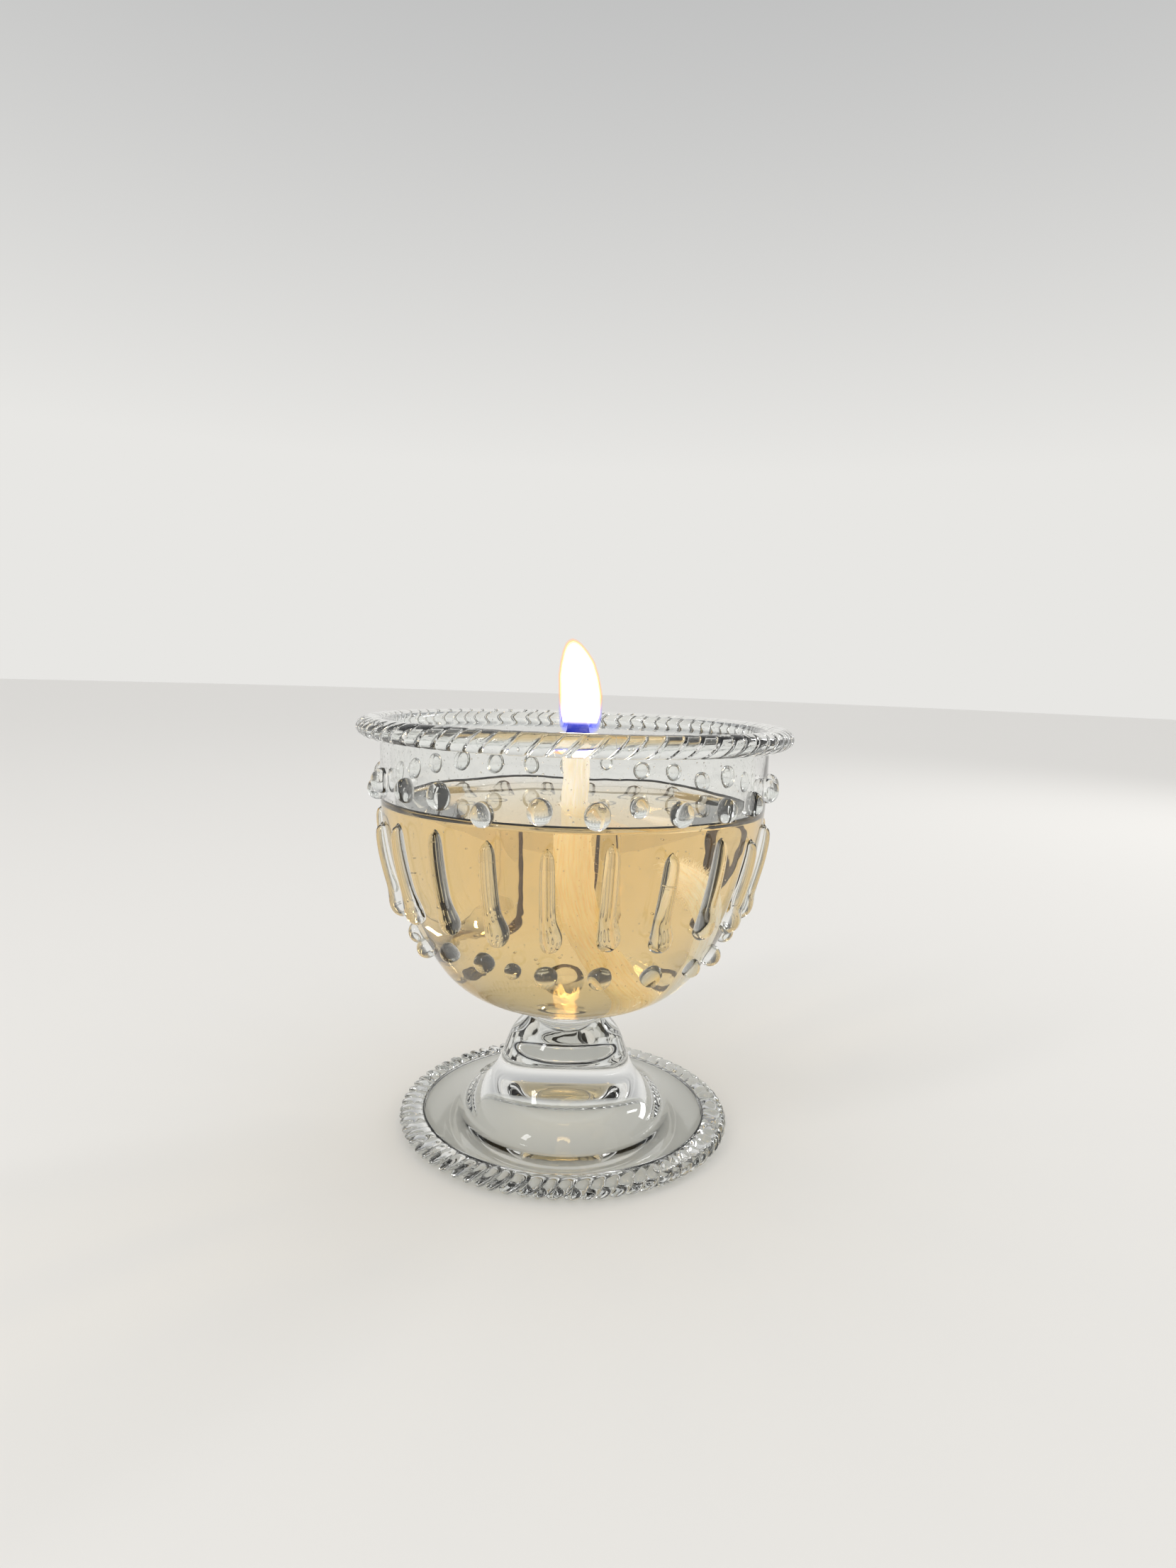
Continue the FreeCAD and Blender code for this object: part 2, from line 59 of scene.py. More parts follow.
# %% [markdown]
# ## Camera
#
# The lamp was taken from close by with a phone, so the perspective is strong and belongs to the
# likeness. The camera stands 166 mm in front of the lamp's axis and 83 mm above the table. It looks
# down a little and leans a little. A matrix built from three directions says this more plainly than
# three angles do, because each direction can be checked by itself.

# %% Camera
LENS = 21.55
CAMERA_PLACE = Vector((0.0, -166.5, 82.6)) * MM
LOOK_DOWN, LOOK_RIGHT, LEAN = 0.121, 0.015, 0.035
forward = Vector((
    math.sin(LOOK_RIGHT) * math.cos(LOOK_DOWN),
    math.cos(LOOK_RIGHT) * math.cos(LOOK_DOWN),
    -math.sin(LOOK_DOWN),
))
level = forward.cross(Vector((0, 0, 1))).normalized()
above = level.cross(forward)
to_right = level * math.cos(LEAN) + above * math.sin(LEAN)
to_top = above * math.cos(LEAN) - level * math.sin(LEAN)

camera = bpy.data.objects.new("camera", bpy.data.cameras.new("camera"))
bpy.context.scene.collection.objects.link(camera)
bpy.context.scene.camera = camera
camera.data.lens = LENS
camera.data.sensor_width = 36
camera.data.clip_start = 0.005
turned = Matrix((to_right, to_top, -forward)).transposed().to_4x4()
camera.matrix_world = Matrix.Translation(CAMERA_PLACE) @ turned
print("camera at", [round(value / MM, 1) for value in CAMERA_PLACE], "mm")

# %% [markdown]
# ## Helpers
#
# Colours are written as the hex values that a colour picker shows, and one function turns them to
# the linear values that Blender mixes. One more function adds a node with its settings and links.
# It serves materials and Geometry Nodes alike: an input may be a value, a socket or a whole node,
# whose first output is then used.

# %% Colours and nodes
def colour(code):
    """The linear colour of an sRGB hex code, with full alpha."""
    parts = [int(code[place:place + 2], 16) / 255 for place in (1, 3, 5)]
    linear = [part / 12.92 if part <= 0.04045 else ((part + 0.055) / 1.055) ** 2.4 for part in parts]
    return (*linear, 1.0)


def add(tree, kind, inputs=(), stops=(), **settings):
    """Adds a node. Inputs are a list in the node's order, or a dictionary by name or place."""
    made = tree.nodes.new(kind)
    for name, value in settings.items():
        setattr(made, name, value)
    for key, value in inputs.items() if isinstance(inputs, dict) else enumerate(inputs):
        if isinstance(value, bpy.types.Node):
            value = value.outputs[0]
        if isinstance(value, bpy.types.NodeSocket):
            tree.links.new(value, made.inputs[key])
        else:
            made.inputs[key].default_value = value
    for index, (place, tint) in enumerate(stops):
        ramp = made.color_ramp.elements
        stop = ramp[index] if index < 2 else ramp.new(place)
        stop.position = place
        stop.color = tint
    return made


def new_material(name):
    """A material with an empty node tree."""
    material = bpy.data.materials.new(name)
    material.use_nodes = True
    material.node_tree.nodes.clear()
    return material, material.node_tree


print("amber #EFA02A is", [round(value, 3) for value in colour("#EFA02A")])

# %% [markdown]
# Meshes are made from lists of points. Each is shaded smooth. A closed one is turned over if its
# volume comes out negative, because glass bends light the wrong way when its faces point inwards.

# %% Meshes
def new_piece(name, points, faces, material):
    """A smooth mesh object from points in metres."""
    mesh = bpy.data.meshes.new(name)
    mesh.from_pydata([tuple(point) for point in points], [], [tuple(face) for face in faces])
    mesh.materials.append(material)
    mesh.update()
    mesh.shade_smooth()
    made = bpy.data.objects.new(name, mesh)
    bpy.context.scene.collection.objects.link(made)
    return made


def face_out(piece):
    """Makes a closed mesh's faces point outwards, and gives its volume in cubic millimetres."""
    mesh = piece.data
    mesh.calc_loop_triangles()
    spots = np.array([vertex.co for vertex in mesh.vertices])
    corners = spots[np.array([tuple(triangle.vertices) for triangle in mesh.loop_triangles])]
    volume = np.einsum("ij,ij->i", corners[:, 0], np.cross(corners[:, 1], corners[:, 2])).sum() / 6
    if volume < 0:
        mesh.flip_normals()
    return round(abs(volume) / MM ** 3)


def turn_on_axis(name, radii, heights, material, turns):
    """A closed turned mesh. Its rows run from one pole on the axis to the other, in millimetres."""
    count = len(turns)
    points = [(0, 0, np.mean(heights[0]) * MM)]
    for radius, height in zip(radii[1:-1], heights[1:-1]):
        ring = np.stack([radius * np.cos(turns), radius * np.sin(turns), height * np.ones(count)], -1)
        points += list(ring * MM)
    points.append((0, 0, np.mean(heights[-1]) * MM))
    faces = []
    rings = len(radii) - 2
    last = 1 + (rings - 1) * count
    for column in range(count):
        after = (column + 1) % count
        faces += [(0, 1 + after, 1 + column), (last + column, last + after, last + count)]
        for row in range(rings - 1):
            here, ahead = 1 + row * count, 1 + (row + 1) * count
            faces.append((here + column, here + after, ahead + after, ahead + column))
    return new_piece(name, points, faces, material)


def belongs(piece, body, slot, *nodes):
    """Makes a piece ride on a body and stand for the model's nodes; its slot is not used."""
    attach(piece, body)
    if nodes:
        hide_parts(*nodes)


print("one metre is", round(1 / MM), "of the millimetres used below")

# %% [markdown]
# A line is given at a few points, and a spline joins them without a corner. A form that
# changes along a line is a table of places and values, read between its rows.

# %% Lines and tables
def smooth_through(points, places):
    """A natural cubic spline through points, read at shares of its length."""
    points = np.array(points, float)
    knots = np.concatenate([[0], np.cumsum(np.linalg.norm(np.diff(points, axis=0), axis=1))])
    gaps = np.diff(knots)
    system = np.eye(len(points))
    right = np.zeros_like(points)
    for row in range(1, len(points) - 1):
        system[row, row - 1:row + 2] = gaps[row - 1], 2 * (gaps[row - 1] + gaps[row]), gaps[row]
        slopes = [(points[at + 1] - points[at]) / gaps[at] for at in (row - 1, row)]
        right[row] = 6 * (slopes[1] - slopes[0])
    bends = np.linalg.solve(system, right)
    made = []
    for place in np.array(places) * knots[-1]:
        part = min(np.searchsorted(knots, place, side="right") - 1, len(gaps) - 1)
        before, after, gap = place - knots[part], knots[part + 1] - place, gaps[part]
        made.append(
            (bends[part] * after ** 3 + bends[part + 1] * before ** 3) / (6 * gap)
            + (points[part] / gap - bends[part] * gap / 6) * after
            + (points[part + 1] / gap - bends[part + 1] * gap / 6) * before
        )
    return np.array(made)


def between(share, table):
    """A value between the rows of a table of places and values."""
    return np.interp(share, [row[0] for row in table], [row[1] for row in table])


print("a spline's middle:", smooth_through([(0, 0), (1, 1), (2, 0)], [0.5])[0])

# %% [markdown]
# ## Wick
#
# A strip of cotton wool is rolled between the palms into a soft cord, thinner than a pencil.
# One end stands up out of the oil. The rest sinks, lies along the bottom and curls up the wall. It
# is the lamp's one free cord, so its route is settled first: a smooth spline through given points,
# the same ones that the model's tube follows. The mesh follows points read from that spline.

# %% Route of the wick
WICK_ROUTE = [
    (0.3, 0.0, 71.0), (0.2, 0.4, 59.4), (-0.1, 3.2, 46.9), (4.3, 5.8, 36.2), (9.2, 1.6, 29.1),
    (13.8, -4.4, 28.7), (18.0, -8.8, 33.8), (20.4, -9.8, 41.8), (17.0, -7.6, 49.3), (11.8, -5.4, 52.6),
]
WICK_RADIUS = 2.3
RING_SPACING = 0.32

route = bpy.data.curves.new("wick_route", "CURVE")
route.dimensions = "3D"
route.resolution_u = 40
spline = route.splines.new("NURBS")
spline.points.add(len(WICK_ROUTE) - 1)
for point, spot in zip(spline.points, WICK_ROUTE):
    point.co = [value * MM for value in spot] + [1.0]
spline.order_u = 3
spline.use_endpoint_u = True
holder = bpy.data.objects.new("wick_route", route)
bpy.context.scene.collection.objects.link(holder)
traced = bpy.data.meshes.new_from_object(holder.evaluated_get(bpy.context.evaluated_depsgraph_get()))
trace = np.array([vertex.co for vertex in traced.vertices]) / MM
bpy.data.objects.remove(holder)

lengths = np.concatenate([[0], np.cumsum(np.linalg.norm(np.diff(trace, axis=0), axis=1))])
WICK_LENGTH = lengths[-1]
steps = np.linspace(0, WICK_LENGTH, round(WICK_LENGTH / RING_SPACING))
middle = np.stack([np.interp(steps, lengths, trace[:, axis]) for axis in range(3)], -1)
tangents = np.gradient(middle, axis=0)
tangents /= np.linalg.norm(tangents, axis=1)[:, None]
print("wick", round(WICK_LENGTH, 1), "mm long in", len(steps), "rings")

# %% [markdown]
# Rolled cotton isn't round. It has a few lengthwise folds that wander, and slubs where more wool
# was rolled in, and its tail was pulled off, not cut, so it thins out. The radius sums those up.
# Each ring's two directions are carried along the line without twist, or the folds would wind.

# %% Form of the wick
WICK_SIDES = 44
TAIL_LENGTH, TAIL_WIDTH_SHARE = 7.0, 0.16
SLUB, FOLD, STRAND, STRIPE = 0.05, 0.17, 0.11, 0.025
SLUB_LENGTH, STRAND_LENGTH, DRIFT_PER_MM = 5.0, 4.0, 0.05
wick_turns = np.linspace(0, FULL_TURN, WICK_SIDES, endpoint=False)


def carried_sides(tangents):
    """Two directions across the line at each of its points."""
    side = np.cross(tangents[0], (0, 1, 0))
    sides = []
    for tangent in tangents:
        side = side - tangent * np.dot(side, tangent)
        side = side / np.linalg.norm(side)
        sides.append(side)
    return np.array(sides), np.cross(tangents, sides)


def folds(turn, along):
    """The share by which the cotton stands out or sinks, at a turn and a length in millimetres."""
    drift = turn + DRIFT_PER_MM * along
    slub = noise.noise(Vector((along / SLUB_LENGTH, 0.3, 1.7)))
    fold = noise.noise(Vector((1.4 * math.cos(turn), 1.4 * math.sin(turn), along / SLUB_LENGTH)))
    strand = noise.noise(Vector((4.5 * math.cos(drift), 4.5 * math.sin(drift), along / STRAND_LENGTH)))
    return SLUB * slub + FOLD * fold + STRAND * strand + STRIPE * math.cos(5 * drift)


def thinned(along):
    """The share of its width that the cotton keeps towards the tail."""
    left = min(1.0, (WICK_LENGTH - along) / TAIL_LENGTH)
    return TAIL_WIDTH_SHARE + (1 - TAIL_WIDTH_SHARE) * math.sqrt(max(0.0, left))


side_one, side_two = carried_sides(tangents)
points = []
for along, spot, one, two in zip(steps, middle, side_one, side_two):
    for turn in wick_turns:
        reach = WICK_RADIUS * (1 + folds(turn, along)) * thinned(along)
        points.append((spot + reach * (math.cos(turn) * one + math.sin(turn) * two)) * MM)
points += [middle[0] * MM, middle[-1] * MM]
first_pole, last_pole = len(points) - 2, len(points) - 1
faces = []
last_ring = (len(steps) - 1) * WICK_SIDES
for column in range(WICK_SIDES):
    after = (column + 1) % WICK_SIDES
    for here in range(0, last_ring, WICK_SIDES):
        ahead = here + WICK_SIDES
        faces.append((here + column, here + after, ahead + after, ahead + column))
    faces += [(first_pole, after, column), (last_pole, last_ring + column, last_ring + after)]
print("wick of", len(faces), "faces")

# %% [markdown]
# Cotton wool is matt and slightly see-through at its edges, with fine fibres along its length. Oil
# makes it a warm cream. A faint glow is painted in, brightest near the top, for the flame's light
# that runs down inside the oily cotton. Just under the flame it is toasted brown. The fibres need a
# pattern that runs along the cord, so the wick has its own UV map, in millimetres along and round.

# %% Cotton
FIBRE_SPACING_MM, FIBRE_LENGTH_MM = 0.3, 3.5
# Heights in mm: where the painted glow starts, and where the toasted brown begins and ends.
PAINTED_GLOW_FROM, TOASTED_FROM, TOASTED_TO = 30.0, 68.5, 71.5
cotton, tree = new_material("rolled_cotton_soaked_in_oil")
on_wick = add(tree, "ShaderNodeUVMap", uv_map="along_and_round")
drawn = add(tree, "ShaderNodeMapping", {
    "Vector": on_wick, "Scale": (1 / FIBRE_LENGTH_MM, 1 / FIBRE_SPACING_MM, 1.0),
})
fibres = add(tree, "ShaderNodeTexNoise", {"Vector": drawn, "Scale": 1.0, "Detail": 4.0})
place = add(tree, "ShaderNodeSeparateXYZ", [add(tree, "ShaderNodeTexCoord").outputs["Object"]])
toasted = add(tree, "ShaderNodeMapRange", {
    "Value": place.outputs["Z"], "From Min": TOASTED_FROM * MM, "From Max": TOASTED_TO * MM,
})
cream = add(tree, "ShaderNodeValToRGB", {"Fac": fibres}, [
    (0.30, colour("#F0E3C8")), (0.60, colour("#FFFBF2")),
])
scorched = add(tree, "ShaderNodeMix", {
    0: toasted, 6: cream, 7: colour("#6A4B33"),
}, data_type="RGBA")
# Painted light: the wick's emission grows from dim olive low down to warm cream under the flame.
painted_glow_share = add(tree, "ShaderNodeMapRange", {
    "Value": place.outputs["Z"], "From Min": PAINTED_GLOW_FROM * MM, "From Max": TOASTED_FROM * MM,
})
painted_flame_glow = add(tree, "ShaderNodeValToRGB", {"Fac": painted_glow_share}, [
    (0.0, colour("#9C8862")), (1.0, colour("#FFDCAE")),
])
nap = add(tree, "ShaderNodeBump", {"Height": fibres, "Strength": 0.7, "Distance": 0.16 * MM})
# The emission here is painted light, so the wick glows a little though it is no lamp.
shader = add(tree, "ShaderNodeBsdfPrincipled", {
    "Base Color": scorched.outputs[2], "Roughness": 0.85, "Sheen Weight": 0.3,
    "Subsurface Weight": 0.3, "Subsurface Radius": (1.0, 0.7, 0.4), "Subsurface Scale": 0.8 * MM,
    "Normal": nap, "Emission Color": painted_flame_glow, "Emission Strength": 0.3,
})
add(tree, "ShaderNodeOutputMaterial", [shader])
print("cotton fibres every", FIBRE_SPACING_MM, "mm")

# %% Cotton's map along and round the wick
wick = new_piece("cotton_wick", points, faces, cotton)
uv_map = np.zeros((len(wick.data.loops), 2))
for polygon in wick.data.polygons:
    columns = [vertex % WICK_SIDES for vertex in polygon.vertices]
    wraps = max(columns) - min(columns) > WICK_SIDES / 2
    for loop, vertex, column in zip(polygon.loop_indices, polygon.vertices, columns):
        ring = min(vertex // WICK_SIDES, len(steps) - 1)
        share = (column + (WICK_SIDES if wraps and column < WICK_SIDES / 2 else 0)) / WICK_SIDES
        uv_map[loop] = steps[ring], share * FULL_TURN * WICK_RADIUS
wick.data.uv_layers.new(name="along_and_round").data.foreach_set("uv", uv_map.ravel())
cotton_volume = face_out(wick)
print("wick:", cotton_volume, "mm3 of cotton")

# %% [markdown]
# Loose fibres stand off the cotton, most of all on the torn tail, where they make its edge soft.
# Geometry Nodes scatter them: a bent sliver is made once, set on points of the wick's skin by a
# density that grows towards the tail, and turned a little at random. A real fibre is a fiftieth of
# a millimetre thick. These are over twice that, or they would be lost in the picture.

# %% Trees of Geometry Nodes
def begin_tree(name, named_inputs):
    """A Geometry Nodes tree with its mesh sockets and its named inputs."""
    tree = bpy.data.node_groups.new(name, "GeometryNodeTree")
    tree.interface.new_socket("Geometry", in_out="OUTPUT", socket_type="NodeSocketGeometry")
    tree.interface.new_socket("Geometry", in_out="INPUT", socket_type="NodeSocketGeometry")
    for label, kind in named_inputs.items():
        tree.interface.new_socket(label, in_out="INPUT", socket_type="NodeSocket" + kind)
    return tree, tree.nodes.new("NodeGroupInput").outputs


def end_tree(tree, geometry, material):
    """Ends a tree: smooth, with instances made real and the material set."""
    smooth = add(tree, "GeometryNodeSetShadeSmooth", [geometry])
    real = add(tree, "GeometryNodeRealizeInstances", [smooth])
    dressed = add(tree, "GeometryNodeSetMaterial", {"Geometry": real, "Material": material})
    add(tree, "NodeGroupOutput", [dressed])


def grow(name, tree, values, base=None):
    """Runs a tree on a base mesh with its inputs set, and keeps the result as a plain mesh."""
    piece = bpy.data.objects.new(name, base or bpy.data.meshes.new(name + "_base"))
    bpy.context.scene.collection.objects.link(piece)
    maker = piece.modifiers.new("maker", "NODES")
    maker.node_group = tree
    for item in tree.interface.items_tree:
        if item.in_out == "INPUT" and item.name in values:
            maker[item.identifier] = values[item.name]
    ready = piece.evaluated_get(bpy.context.evaluated_depsgraph_get())
    mesh = bpy.data.meshes.new_from_object(ready)
    piece.modifiers.clear()
    piece.data = mesh
    mesh.name = name
    return piece


print("a tree's result becomes a plain mesh")

# %% Node tree of the fuzz
fuzz_tree, given = begin_tree("fuzz_on_cotton", {
    "Fibres per square metre": "Float", "Fibre length": "Float", "Fibre radius": "Float",
    "Seed": "Int", "Cotton": "Material",
})
looseness = add(fuzz_tree, "GeometryNodeInputNamedAttribute", ["looseness"], data_type="FLOAT")
density = add(fuzz_tree, "ShaderNodeMath", [
    given["Fibres per square metre"], looseness,
], operation="MULTIPLY")
roots = add(fuzz_tree, "GeometryNodeDistributePointsOnFaces", {
    "Mesh": given["Geometry"], "Density": density, "Seed": given["Seed"],
})
bend = add(fuzz_tree, "GeometryNodeCurveQuadraticBezier", {
    "Resolution": 5, "Start": (0, 0, -0.1), "Middle": (0.05, 0, 0.5), "End": (0.45, 0, 0.85),
})
taper = add(fuzz_tree, "ShaderNodeMapRange", {
    "Value": add(fuzz_tree, "GeometryNodeSplineParameter"), "To Min": 1.0, "To Max": 0.25,
})
relative = add(fuzz_tree, "ShaderNodeMath", [
    given["Fibre radius"], given["Fibre length"],
], operation="DIVIDE")
ring = add(fuzz_tree, "GeometryNodeCurvePrimitiveCircle", {"Resolution": 3, "Radius": relative})
sliver = add(fuzz_tree, "GeometryNodeCurveToMesh", {
    "Curve": bend, "Profile Curve": ring, "Scale": taper, "Fill Caps": True,
})
spin = add(fuzz_tree, "FunctionNodeRandomValue", {
    0: (-0.5, -0.5, 0.0), 1: (0.5, 0.5, FULL_TURN), "Seed": given["Seed"],
}, data_type="FLOAT_VECTOR")
lean = add(fuzz_tree, "FunctionNodeRotateRotation", {
    "Rotation": roots.outputs["Rotation"], "Rotate By": spin,
}, rotation_space="LOCAL")
vary = add(fuzz_tree, "FunctionNodeRandomValue", {2: 0.4, 3: 1.0, "Seed": 3}, data_type="FLOAT")
torn = add(fuzz_tree, "ShaderNodeMath", [looseness, 1.0], operation="ADD")
long = add(fuzz_tree, "ShaderNodeMath", [torn, vary.outputs[1]], operation="MULTIPLY")
long = add(fuzz_tree, "ShaderNodeMath", [long, given["Fibre length"]], operation="MULTIPLY")
fibres_set = add(fuzz_tree, "GeometryNodeInstanceOnPoints", {
    "Points": roots.outputs["Points"], "Instance": sliver, "Rotation": lean, "Scale": long,
})
end_tree(fuzz_tree, fibres_set, given["Cotton"])
print("fuzz tree of", len(fuzz_tree.nodes), "nodes")

# %% Fuzz on the wick
SMOOTH_TOP, FEW_FIBRES = 12, 0.12
skin = wick.data.copy()
looseness = [
    1.0 if along > WICK_LENGTH - TAIL_LENGTH else FEW_FIBRES if along > SMOOTH_TOP else 0.0
    for along in steps for turn in wick_turns
] + [0.0, 1.0]
skin.attributes.new("looseness", "FLOAT", "POINT").data.foreach_set("value", looseness)
fuzz = grow("cotton_fuzz", fuzz_tree, {
    "Fibres per square metre": 9.0e6, "Fibre length": 0.8 * MM, "Fibre radius": 0.025 * MM,
    "Seed": 4, "Cotton": cotton,
}, skin)
print("fuzz of", len(fuzz.data.polygons), "faces")

# %% [markdown]
# ## Charred end
#
# The last three millimetres stand inside the flame and have burnt to a crust, narrower than the
# wick and lumpy. Soot is the blackest of matt blacks; the blue tinge in its colour is painted light
# from the flame's blue foot.

# %% Charred end
TIP_LENGTH, TIP_TOP_WIDTH, CRUMB_MM = 3.3, 3.1, 0.5
char, tree = new_material("charred_cotton_crust")
crumbs = add(tree, "ShaderNodeTexNoise", {
    "Vector": add(tree, "ShaderNodeTexCoord").outputs["Object"], "Scale": 1 / (CRUMB_MM * MM),
    "Detail": 6.0, "Roughness": 0.7,
})
# Near-black soot, with painted blue light from the flame's foot in its lighter crumbs.
soot_with_painted_blue = add(tree, "ShaderNodeValToRGB", {"Fac": crumbs}, [
    (0.35, colour("#0E0F16")), (0.75, colour("#2E3148")),
])
crust = add(tree, "ShaderNodeBump", {"Height": crumbs, "Strength": 1.0, "Distance": 0.3 * MM})
shader = add(tree, "ShaderNodeBsdfPrincipled", {"Base Color": soot_with_painted_blue, "Roughness": 0.95, "Normal": crust})
add(tree, "ShaderNodeOutputMaterial", [shader])
print("soot:", char.name)

# %% Form of the charred end
SKIRT, SKIRT_WIDTH, LUMP_DEPTH, TIP_RINGS = 0.12, 0.93, 0.22, 16
burn = Vector(WICK_ROUTE[0])
tip_turns = wick_turns[::2]


def lumps(scale, share):
    """Noise round the charred end, one value for each turn."""
    return np.array([
        noise.noise(Vector((scale * math.cos(turn), scale * math.sin(turn), share))) for turn in tip_turns
    ])


radii, heights = [np.zeros(len(tip_turns))], [np.full(len(tip_turns), burn.z - 0.4)]
for share in np.linspace(-SKIRT, 1.0, TIP_RINGS):
    wide = WICK_RADIUS + (TIP_TOP_WIDTH / 2 - WICK_RADIUS) * max(0.0, share) ** 0.8
    lumpy = 1 + LUMP_DEPTH * lumps(1.8, 3 * share + 4)
    radii.append(wide * (SKIRT_WIDTH if share < 0 else 1.0) * lumpy)
    heights.append(np.full(len(tip_turns), burn.z + share * TIP_LENGTH))
for share, rise in ((0.8, 0.25), (0.5, 0.4)):
    radii.append(radii[-1] * share)
    heights.append(heights[-1] + rise * (1 + lumps(2.0, 9 * share)) / 2)
radii.append(np.zeros(len(tip_turns)))
heights.append(heights[-1])
charred = turn_on_axis("charred_end", radii, heights, char, tip_turns)
charred.data.transform(Matrix.Translation((burn.x * MM, burn.y * MM, 0)))
char_volume = face_out(charred)
print("charred end:", char_volume, "mm3")

# %% [markdown]
# ## Flame
#
# A flame is glowing soot round a dark cone of vapour. It has no skin, so four nested shells stand
# for it. The inner one is white-hot light, and the outer ones are ever clearer and warmer, so the
# flame ends softly all round. All are clearer and bluer at the foot, where gas burns without soot,
# and the charred wick can be seen there.

# %% Form of the flame
FLAME_HEIGHT, FLAME_HALF, FLAME_RINGS, FLAME_SIDES = 17.0, 3.9, 44, 40
FLAME_WIDTH_SHARES = [
    (0.0, 0.30), (0.02, 0.62), (0.05, 0.82), (0.10, 0.92), (0.20, 0.98), (0.42, 1.0), (0.62, 0.93),
    (0.77, 0.78), (0.88, 0.56), (0.95, 0.36), (0.985, 0.19), (1.0, 0.0),
]
FLAME_SHIFT_SHARES = [
    (0.0, 0.08), (0.2, 0.11), (0.42, 0.09), (0.62, -0.02), (0.77, -0.10), (0.88, -0.22), (1.0, -0.35),
]
print("flame", FLAME_HEIGHT, "mm high and", 2 * FLAME_HALF, "mm wide")

# %% Shells of the flame
BLUE_FADE = 0.15
FLAME_SHELLS = [
    # name, width, foot and top as shares of the height, how far up it is blue,
    # tints from foot to top, light, solidity at the foot and above
    ("flame_glow", 1.00, 0.0, 1.0, 0.26, ("#4A5CFF", "#FF9440", "#FFA04C"), 1.3, 0.10, 0.16),
    ("flame_mantle", 0.96, 0.01, 0.985, 0.20, ("#3C4CE8", "#FFAA4E", "#FFB45A"), 2.2, 0.08, 0.30),
    ("flame_body", 0.91, 0.02, 0.97, 0.14, ("#2C38B8", "#FFD898", "#FFDCA0"), 4.0, 0.07, 0.50),
    ("flame_heart", 0.85, 0.035, 0.95, 0.12, ("#14184C", "#FFEFC8", "#FFF0CC"), 20.0, 0.06, 1.00),
]


def burning_gas(name, blue_to, tints, light, foot_solidity, solidity):
    """Light whose tint and solidity change with height above the wick."""
    material, tree = new_material(name + "_gas")
    place = add(tree, "ShaderNodeSeparateXYZ", [add(tree, "ShaderNodeTexCoord").outputs["Object"]])
    share = add(tree, "ShaderNodeMapRange", {
        "Value": place.outputs["Z"], "From Min": burn.z * MM, "From Max": (burn.z + FLAME_HEIGHT) * MM,
    })
    tint = add(tree, "ShaderNodeValToRGB", {"Fac": share}, [
        (blue_to, colour(tints[0])), (0.95, colour(tints[2])),
        (blue_to + BLUE_FADE, colour(tints[1])),
    ])
    glow = add(tree, "ShaderNodeEmission", {"Color": tint, "Strength": light})
    thin_foot = add(tree, "ShaderNodeMapRange", {
        "Value": share, "From Min": blue_to - BLUE_FADE / 3, "From Max": blue_to + BLUE_FADE,
        "To Min": foot_solidity, "To Max": solidity,
    }, interpolation_type="SMOOTHSTEP")
    seen = add(tree, "ShaderNodeMixShader", [thin_foot, add(tree, "ShaderNodeBsdfTransparent"), glow])
    add(tree, "ShaderNodeOutputMaterial", [seen])
    return material


flame_shells = []
flame_turns = np.linspace(0, FULL_TURN, FLAME_SIDES, endpoint=False)
shares = 0.5 - 0.5 * np.cos(np.linspace(0, HALF_TURN, FLAME_RINGS))
for shell_name, width, foot, top, *gas in FLAME_SHELLS:
    rims = [0.0] + [FLAME_HALF * width * between(share, FLAME_WIDTH_SHARES) for share in shares]
    levels = [burn.z + FLAME_HEIGHT * (foot + (top - foot) * share) for share in shares]
    light = burning_gas(shell_name, *gas)
    shell = turn_on_axis(shell_name, rims, [levels[0]] + levels, light, flame_turns)
    face_out(shell)
    for vertex in shell.data.vertices:
        shift = between((vertex.co.z / MM - burn.z) / FLAME_HEIGHT, FLAME_SHIFT_SHARES)
        vertex.co += Vector((burn.x + shift * FLAME_HALF, burn.y, 0)) * MM
    flame_shells.append(shell)
print("flame of", len(flame_shells), "shells")

# %% [markdown]
# The wick, its char, its fuzz and the flame move as one body when the wick is lifted out.

# %% What moves with the wick
belongs(wick, "wick", "cotton_wick", "wick")
belongs(charred, "wick", "charred_cotton", "wick_burnt_tip")
belongs(flame_shells[0], "wick", "flame_glow", "flame")
for shell in flame_shells[1:]:
    belongs(shell, "wick", "flame_glow")
belongs(fuzz, "wick", "cotton_wick")
print("cord of", round(WICK_LENGTH, 1), "mm declared")

# %% [markdown]
# ## Glass and oil
#
# Lampworked borosilicate glass is clear and colourless with a fire-polished skin: no scratches and
# no grain, only slow ripples a few millimetres long. So the material is a plain dielectric with
# an index of 1.47 and no roughness, and a faint bump for the ripples. The gleam comes from its
# form. Rays from lamps and from matt surfaces pass through it dimmed, most where the glass stands
# edge-on. That stands for the light that real glass bends on its way, which would take very long
# to trace, and it gives the lamp its soft shadow.

# %% Glass
GLASS_RIPPLE_MM = 4.0


def let_light_pass(tree, surface, dimmed):
    """Mixes in a see-through surface for rays that come from lamps and matt surfaces."""
    ray = add(tree, "ShaderNodeLightPath")
    passing = add(tree, "ShaderNodeMath", [
        ray.outputs["Is Shadow Ray"], ray.outputs["Is Diffuse Ray"],
    ], operation="MAXIMUM")
    return add(tree, "ShaderNodeMixShader", [passing, surface, dimmed])


